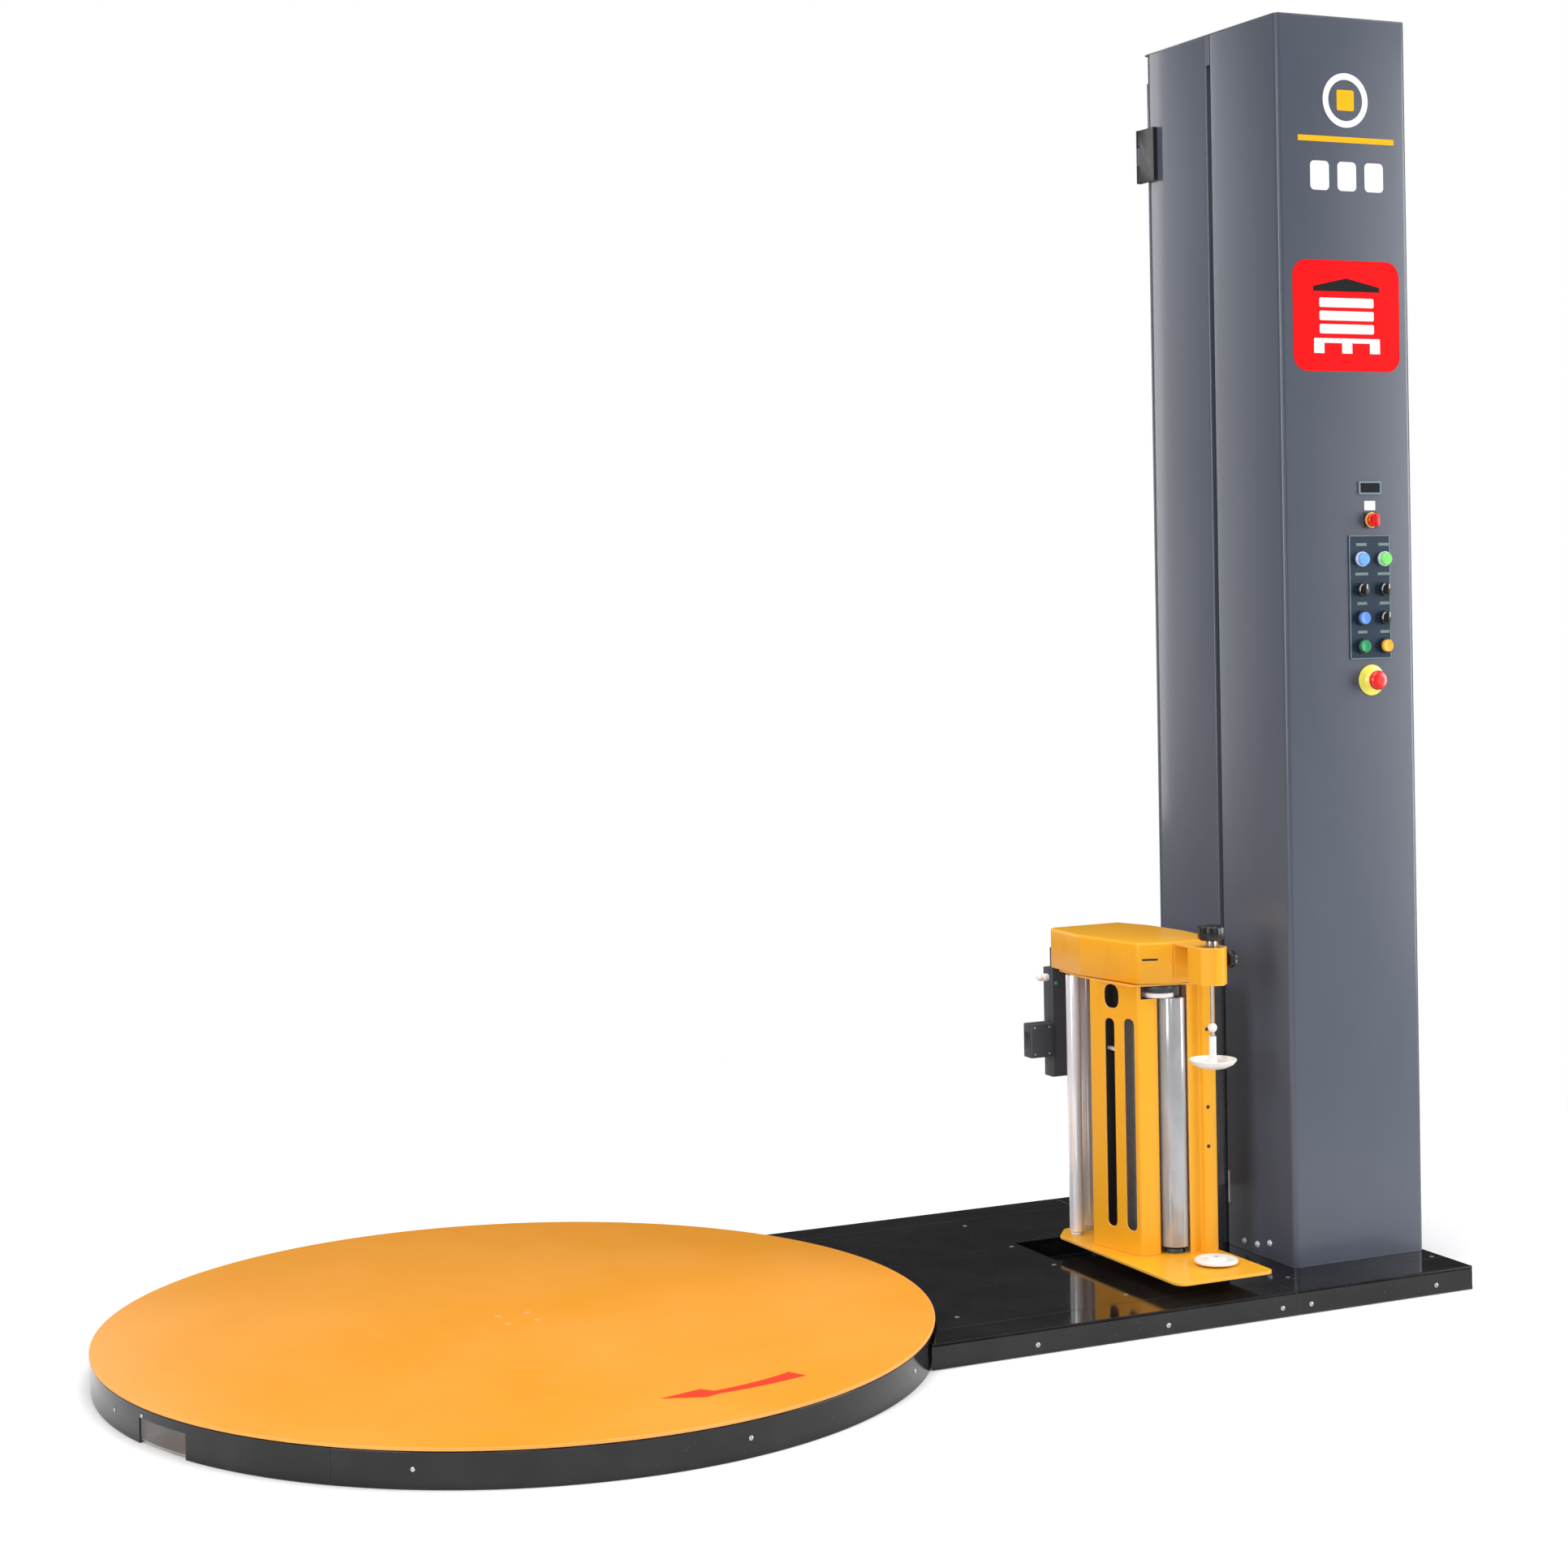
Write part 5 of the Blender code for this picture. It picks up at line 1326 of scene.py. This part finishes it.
class WRAPPER_OT_stretch_rollers(bpy.types.Operator):
    """Build the two rubber stretch rollers with their cores and bearings"""

    bl_idname = "wrapper.stretch_rollers"
    bl_label = "Stretch rollers"

    def execute(self, context):
        for name in ("stretch_roller_front", "stretch_roller_back"):
            low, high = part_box(name)
            x, y = (low.x + high.x) / 2, (low.y + high.y) / 2
            radius = (high.x - low.x) / 2
            base, top = 0.099, 0.6265
            sleeve = softened([(0.0, base + 0.0006), (radius - 0.006, base + 0.0006), (radius - 0.0055, base),
                               (radius, base), (radius, top), (radius - 0.0055, top),
                               (radius - 0.006, top - 0.0006),
                               (0.0, top - 0.0006)], 0.0012)
            body = BODY_OF_NODE[name]
            piece(f"{name}_sleeve", moved(turned(sleeve), at(x, y)), "grey_rubber", body, (name,))
            shaft = softened([(0.0, low.z), (0.008, low.z), (0.008, base), (0.0135, base),
                              (0.0135, base + 0.0012),
                              (0.0135, top + 0.0010), (0.008, top + 0.0010), (0.008, high.z), (0.0, high.z)],
                             0.0005)
            piece(f"{name}_shaft", moved(turned(shaft, 48), at(x, y)), "steel", body)
            housing = softened([(0.0086, HOUSING_LOW), (0.0225, HOUSING_LOW), (0.0225, 0.6500),
                                (0.0205, HOUSING_TOP),
                                (0.0086, HOUSING_TOP), (0.0086, HOUSING_LOW)], 0.0008)
            piece(f"{name}_bearing", moved(turned(housing, 48), at(x, y)), "slate_plastic", "carriage")
            foot = softened([(0.0086, 0.0854), (0.0220, 0.0854), (0.0205, 0.0935), (0.0086, 0.0960),
                             (0.0086, 0.0854)], 0.0008)
            piece(f"{name}_foot", moved(turned(foot, 48), at(x, y)), "slate_plastic", "carriage")
        return {"FINISHED"}


class WRAPPER_OT_idlers(bpy.types.Operator):
    """Build the two chromed idler rollers and their end bushes"""

    bl_idname = "wrapper.idlers"
    bl_label = "Idlers"

    def execute(self, context):
        for name in ("idler_roller_front", "idler_roller_back"):
            low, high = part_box(name)
            x, y = (low.x + high.x) / 2, (low.y + high.y) / 2
            radius = (high.x - low.x) / 2
            base, top = 0.0925, 0.652
            tube = softened([(0.0, low.z), (0.006, low.z), (0.006, base + 0.002),
                             (radius - 0.0025, base + 0.002),
                             (radius - 0.002, base), (radius, base), (radius, top), (radius - 0.002, top),
                             (radius - 0.0025, top - 0.002), (0.006, top - 0.002), (0.006, high.z),
                             (0.0, high.z)],
                            0.0004)
            piece(f"{name}_tube", moved(turned(tube), at(x, y)), "chrome", BODY_OF_NODE[name], (name,))
            bush = softened([(0.0064, 0.0854), (0.0130, 0.0854), (0.0125, 0.0905), (0.0064, 0.0915),
                             (0.0064, 0.0854)], 0.0005)
            piece(f"{name}_bush", moved(turned(bush, 48), at(x, y)), "white_nylon", "carriage")
        return {"FINISHED"}


class WRAPPER_OT_film_holder(bpy.types.Operator):
    """Build the film disc below, and the cone, rod, ball and grip above"""

    bl_idname = "wrapper.film_holder"
    bl_label = "Film holder"

    def execute(self, context):
        low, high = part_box("film_disc")
        x, y = (low.x + high.x) / 2, (low.y + high.y) / 2
        here = at(x, y)
        radius = (high.x - low.x) / 2
        disc = softened([(0.0, low.z), (0.030, low.z), (radius, low.z + 0.003), (radius, low.z + 0.0080),
                         (radius - 0.003, low.z + 0.0098), (0.030, low.z + 0.0098), (0.028, low.z + 0.0085),
                         (0.022, low.z + 0.0085), (0.0195, low.z + 0.0110), (0.0175, high.z), (0.0, high.z)],
                        0.0008)
        piece("film_disc_finished", moved(turned(disc, 96), here), "white_nylon", "film_seat", ("film_disc",))
        cap = moved(hex_bolt(0.0040, 0.0030), at(x, y, high.z - 0.0028))
        piece("film_disc_bolt", cap, "steel", "film_seat")
        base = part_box("film_cone")[0].z
        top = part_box("film_cone")[1].z
        bowl = softened([(0.0050, base), (0.0120, base), (0.0300, base + 0.0042), (0.0430, base + 0.0110),
                         (0.0498, base + 0.0195), (0.0490, base + 0.0215), (0.0470, base + 0.0205),
                         (0.0400, base + 0.0140), (0.0280, base + 0.0085), (0.0150, base + 0.0075),
                         (0.0085, base + 0.0140), (0.0075, base + 0.0330), (0.0075, top), (0.0050, top),
                         (0.0050, base)], 0.0025, 4)
        piece("film_cone_finished", moved(turned(bowl, 96), here), "white_nylon", "holder_cone",
              ("film_cone",))
        rod_low, rod_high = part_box("film_rod")
        grip_low = rod_high.z - 0.033
        rod = softened([(0.0, rod_low.z), (0.004, rod_low.z), (0.004, grip_low - 0.0115),
                        (0.0118, grip_low - 0.0115),
                        (0.0118, grip_low + 0.002), (0.0, grip_low + 0.002)], 0.0006)
        piece("film_rod_finished", moved(turned(rod, 48), here), "steel", "holder_rod", ("film_rod",))
        ball = arc((0.0, 0.5775), 0.0097, -66, 66, 24)
        ball = [(0.0042, ball[0][1]), *ball, (0.0042, ball[-1][1]), (0.0042, ball[0][1])]
        piece("rod_ball", moved(turned(ball), here), "white_nylon", "holder_rod")
        grip = moved(lobed(0.0280, grip_low + 0.001, rod_high.z - 0.0015, 8, 0.0022), here)
        piece("rod_grip", grip, "black_plastic", "holder_rod", sharp=50)
        return {"FINISHED"}


class WRAPPER_OT_clamp(bpy.types.Operator):
    """Build the clamp knob on the arm's end"""

    bl_idname = "wrapper.clamp"
    bl_label = "Clamp knob"

    def execute(self, context):
        low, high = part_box("clamp_knob")
        place = at(low.x, (low.y + high.y) / 2, (low.z + high.z) / 2) @ Matrix.Rotation(math.pi / 2, 4, "Y")
        stem = turned(softened([(0.0, 0.0), (0.0068, 0.0), (0.0068, 0.0080), (0.0, 0.0080)], 0.0005), 48)
        reach = high.x - low.x
        head = lobed(0.0180, 0.0072, reach - 0.0012, 6, 0.0024)
        piece("clamp_knob_finished", moved(together([stem, head]), place), "black_plastic", "clamp",
              ("clamp_knob",), sharp=50)
        return {"FINISHED"}


class WRAPPER_OT_sensor(bpy.types.Operator):
    """Build the load sensor, its bracket, window and connectors"""

    bl_idname = "wrapper.sensor"
    bl_label = "Load sensor"

    def execute(self, context):
        refined("sensor_bracket", 0.0014)
        refined("photocell", 0.0016)
        low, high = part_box("photocell")
        middle_y, middle_z = (low.y + high.y) / 2, (low.z + high.z) / 2
        window = prism(rounded(rectangle((-0.020, -0.011), (0.020, 0.011)), 0.003), -0.0004, 0.0006)
        piece("photocell_window", moved(window, facing_table(low.x, middle_y, middle_z)), "dark_glass",
              "carriage",
              bevel=0.0003)
        screws = [moved(socket_screw(0.0026, 0.0014), facing_front(low.x + 0.010 + x, low.y, z))
                  for x in (0.0, 0.036) for z in (low.z + 0.008, high.z - 0.008)]
        piece("photocell_screws", together(screws), "steel", "carriage")
        bracket_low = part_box("sensor_bracket")[0]
        plug = turned(softened([(0.0, 0.0), (0.0085, 0.0), (0.0085, 0.010), (0.0070, 0.013), (0.0070, 0.022),
                                (0.0045, 0.026), (0.0, 0.026)], 0.0010), 48)
        place = facing_table(bracket_low.x, 0.128, 0.634)
        piece("sensor_connector", moved(plug, place), "white_nylon", "carriage")
        lamp = turned(softened([(0.0, -0.0005), (0.0042, -0.0005), (0.0042, 0.0022), (0.0, 0.0034)], 0.0008),
                      48)
        piece("sensor_lamp", moved(lamp, facing_front(bracket_low.x + 0.012, bracket_low.y, 0.622)),
              "button_green",
              "carriage")
        return {"FINISHED"}


class WRAPPER_OT_frame_parts(bpy.types.Operator):
    """Give every frame part that still shows its finish"""

    bl_idname = "wrapper.frame_parts"
    bl_label = "Frame parts"

    def execute(self, context):
        for name, part in frame["nodes"].items():
            part.data.materials.clear()
            part.data.materials.append(finish(SLOT_OF_NODE[name]))
        return {"FINISHED"}


# ---- Stage ------------------------------------------------------------------------------------
class WRAPPER_OT_stage(bpy.types.Operator):
    """Make the pale floor, the soft lights and the camera"""

    bl_idname = "wrapper.stage"
    bl_label = "Stage"

    def execute(self, context):
        self.make_floor()
        self.make_sky()
        target = Vector((1.0, -0.1, 1.0))
        self.make_light("camera_light", (-2.2, -6.0, 2.6), target, 1.0, 2.6, 62)
        self.make_light("left_light", (-4.6, -3.2, 2.2), target, 1.8, 3.2, 210)
        self.make_light("right_light", (5.6, -2.6, 1.7), target, 2.2, 3.4, 250)
        self.make_light("top_light", (0.4, -0.6, 6.0), Vector((0.4, 0.0, 0.0)), 5.0, 5.0, 270)
        self.make_light("back_light", (-0.8, 5.2, 2.2), target, 0.6, 3.6, 60)
        self.make_camera()
        return {"FINISHED"}

    def make_floor(self):
        """A wide pale floor with a very faint grain."""
        mesh = bpy.data.meshes.new("floor")
        shape = bmesh.new()
        shape.faces.new([shape.verts.new((x, y, -0.0005)) for x,
                         y in rectangle((-FLOOR_REACH, -FLOOR_REACH), (FLOOR_REACH, FLOOR_REACH))])
        shape.to_mesh(mesh)
        shape.free()
        floor = bpy.data.objects.new("floor", mesh)
        bpy.context.scene.collection.objects.link(floor)
        paint = Finish("floor_paint", Specular_IOR_Level=0.0)
        grain = paint.noise(0.03, 3.0)
        paint.set("Base Color", paint.mix(grain * 0.5, (0.95, 0.95, 0.95), (0.93, 0.93, 0.935)))
        paint.set("Roughness", 0.70 + grain * 0.10)
        away = paint.node("ShaderNodeVectorMath", {"operation": "DISTANCE"},
                          {0: paint.place(), 1: (0.8, 0.0, 0.0)},
                          "Value")
        paint.set("Alpha", paint.ramp(away * (1.0 / 5.0), 0.62, 0.36))
        mesh.materials.append(paint.material)

    def make_sky(self):
        """A white backdrop. What reflects in the object is a soft room, darker at eye level."""
        world = bpy.data.worlds.new("studio")
        bpy.context.scene.world = world
        world.use_nodes = True
        sky = Nodes(world.node_tree)
        out = world.node_tree.nodes["World Output"]
        place = sky.node("ShaderNodeTexCoord", {}, {}, "Generated")
        height = sky.node("ShaderNodeSeparateXYZ", {}, {0: place}, "Z")
        glow = sky.node("ShaderNodeValToRGB",
                        {"stops": [(0.0, 0.20), (0.10, 0.07), (0.38, 0.16), (0.80, 1.0)]},
                        {"Fac": height}, "Color")
        room = sky.node("ShaderNodeBackground", {},
                        {"Color": glow, "Strength": bpy.context.scene.wrapper_stage.sky})
        white = sky.node("ShaderNodeBackground", {}, {"Color": (1.0, 1.0, 1.0), "Strength": 1.0})
        seen = sky.node("ShaderNodeLightPath", {}, {}, "Is Camera Ray")
        both = sky.node("ShaderNodeMixShader", {}, {0: seen, 1: room, 2: white})
        sky.feed(out.inputs["Surface"], both)
        bpy.context.scene.view_settings.view_transform = "Standard"

    def make_light(self, name, place, target, width, height, power):
        data = bpy.data.lights.new(name, "AREA")
        data.shape = "RECTANGLE"
        data.size = width
        data.size_y = height
        data.energy = power
        light = bpy.data.objects.new(name, data)
        light.location = place
        light.rotation_euler = (target - Vector(place)).to_track_quat("-Z", "Y").to_euler()
        bpy.context.scene.collection.objects.link(light)

    def make_camera(self):
        stage = bpy.context.scene.wrapper_stage
        forward = Vector((math.cos(stage.yaw) * math.cos(stage.pitch),
                          math.sin(stage.yaw) * math.cos(stage.pitch),
                          math.sin(stage.pitch)))
        level_right = Vector((math.sin(stage.yaw), -math.cos(stage.yaw), 0.0))
        level_up = level_right.cross(forward)
        right = math.cos(stage.roll) * level_right + math.sin(stage.roll) * level_up
        up = math.cos(stage.roll) * level_up - math.sin(stage.roll) * level_right
        data = bpy.data.cameras.new("camera")
        data.sensor_width = 36.0
        data.lens = stage.lens
        data.shift_x = 0.0054
        data.shift_y = -0.1151
        data.clip_end = 200.0
        camera = bpy.data.objects.new("camera", data)
        turn = Matrix((right, up, -forward)).transposed().to_4x4()
        camera.matrix_world = Matrix.Translation(stage.camera_place) @ turn
        bpy.context.scene.collection.objects.link(camera)
        bpy.context.scene.camera = camera


# ---- Panel and registration -------------------------------------------------------------------
OPERATORS = (WRAPPER_OT_stage, WRAPPER_OT_table, WRAPPER_OT_rim, WRAPPER_OT_deck, WRAPPER_OT_mast,
             WRAPPER_OT_door,
             WRAPPER_OT_lift, WRAPPER_OT_marks, WRAPPER_OT_controls, WRAPPER_OT_buttons, WRAPPER_OT_knobs,
             WRAPPER_OT_main_switch, WRAPPER_OT_emergency_stop, WRAPPER_OT_carriage, WRAPPER_OT_hood,
             WRAPPER_OT_stretch_rollers, WRAPPER_OT_idlers, WRAPPER_OT_film_holder, WRAPPER_OT_clamp,
             WRAPPER_OT_sensor, WRAPPER_OT_frame_parts)


class WRAPPER_PT_panel(bpy.types.Panel):
    """Lists the pieces of the pallet wrapper"""

    bl_idname = "WRAPPER_PT_panel"
    bl_label = "Pallet wrapper"
    bl_space_type = "VIEW_3D"
    bl_region_type = "UI"
    bl_category = "Wrapper"

    def draw(self, context):
        for operator in OPERATORS:
            self.layout.operator(operator.bl_idname)


CLASSES = (WrapperColours, WrapperSizes, WrapperStage, *OPERATORS, WRAPPER_PT_panel)


def register():
    for made in CLASSES:
        bpy.utils.register_class(made)
    bpy.types.Scene.wrapper_colours = PointerProperty(type=WrapperColours)
    bpy.types.Scene.wrapper_sizes = PointerProperty(type=WrapperSizes)
    bpy.types.Scene.wrapper_stage = PointerProperty(type=WrapperStage)


def unregister():
    del bpy.types.Scene.wrapper_stage
    del bpy.types.Scene.wrapper_sizes
    del bpy.types.Scene.wrapper_colours
    for made in reversed(CLASSES):
        bpy.utils.unregister_class(made)


def main():
    register()
    for operator in OPERATORS:
        family, action = operator.bl_idname.split(".")
        getattr(getattr(bpy.ops, family), action)()


if __name__ == "__main__":
    main()
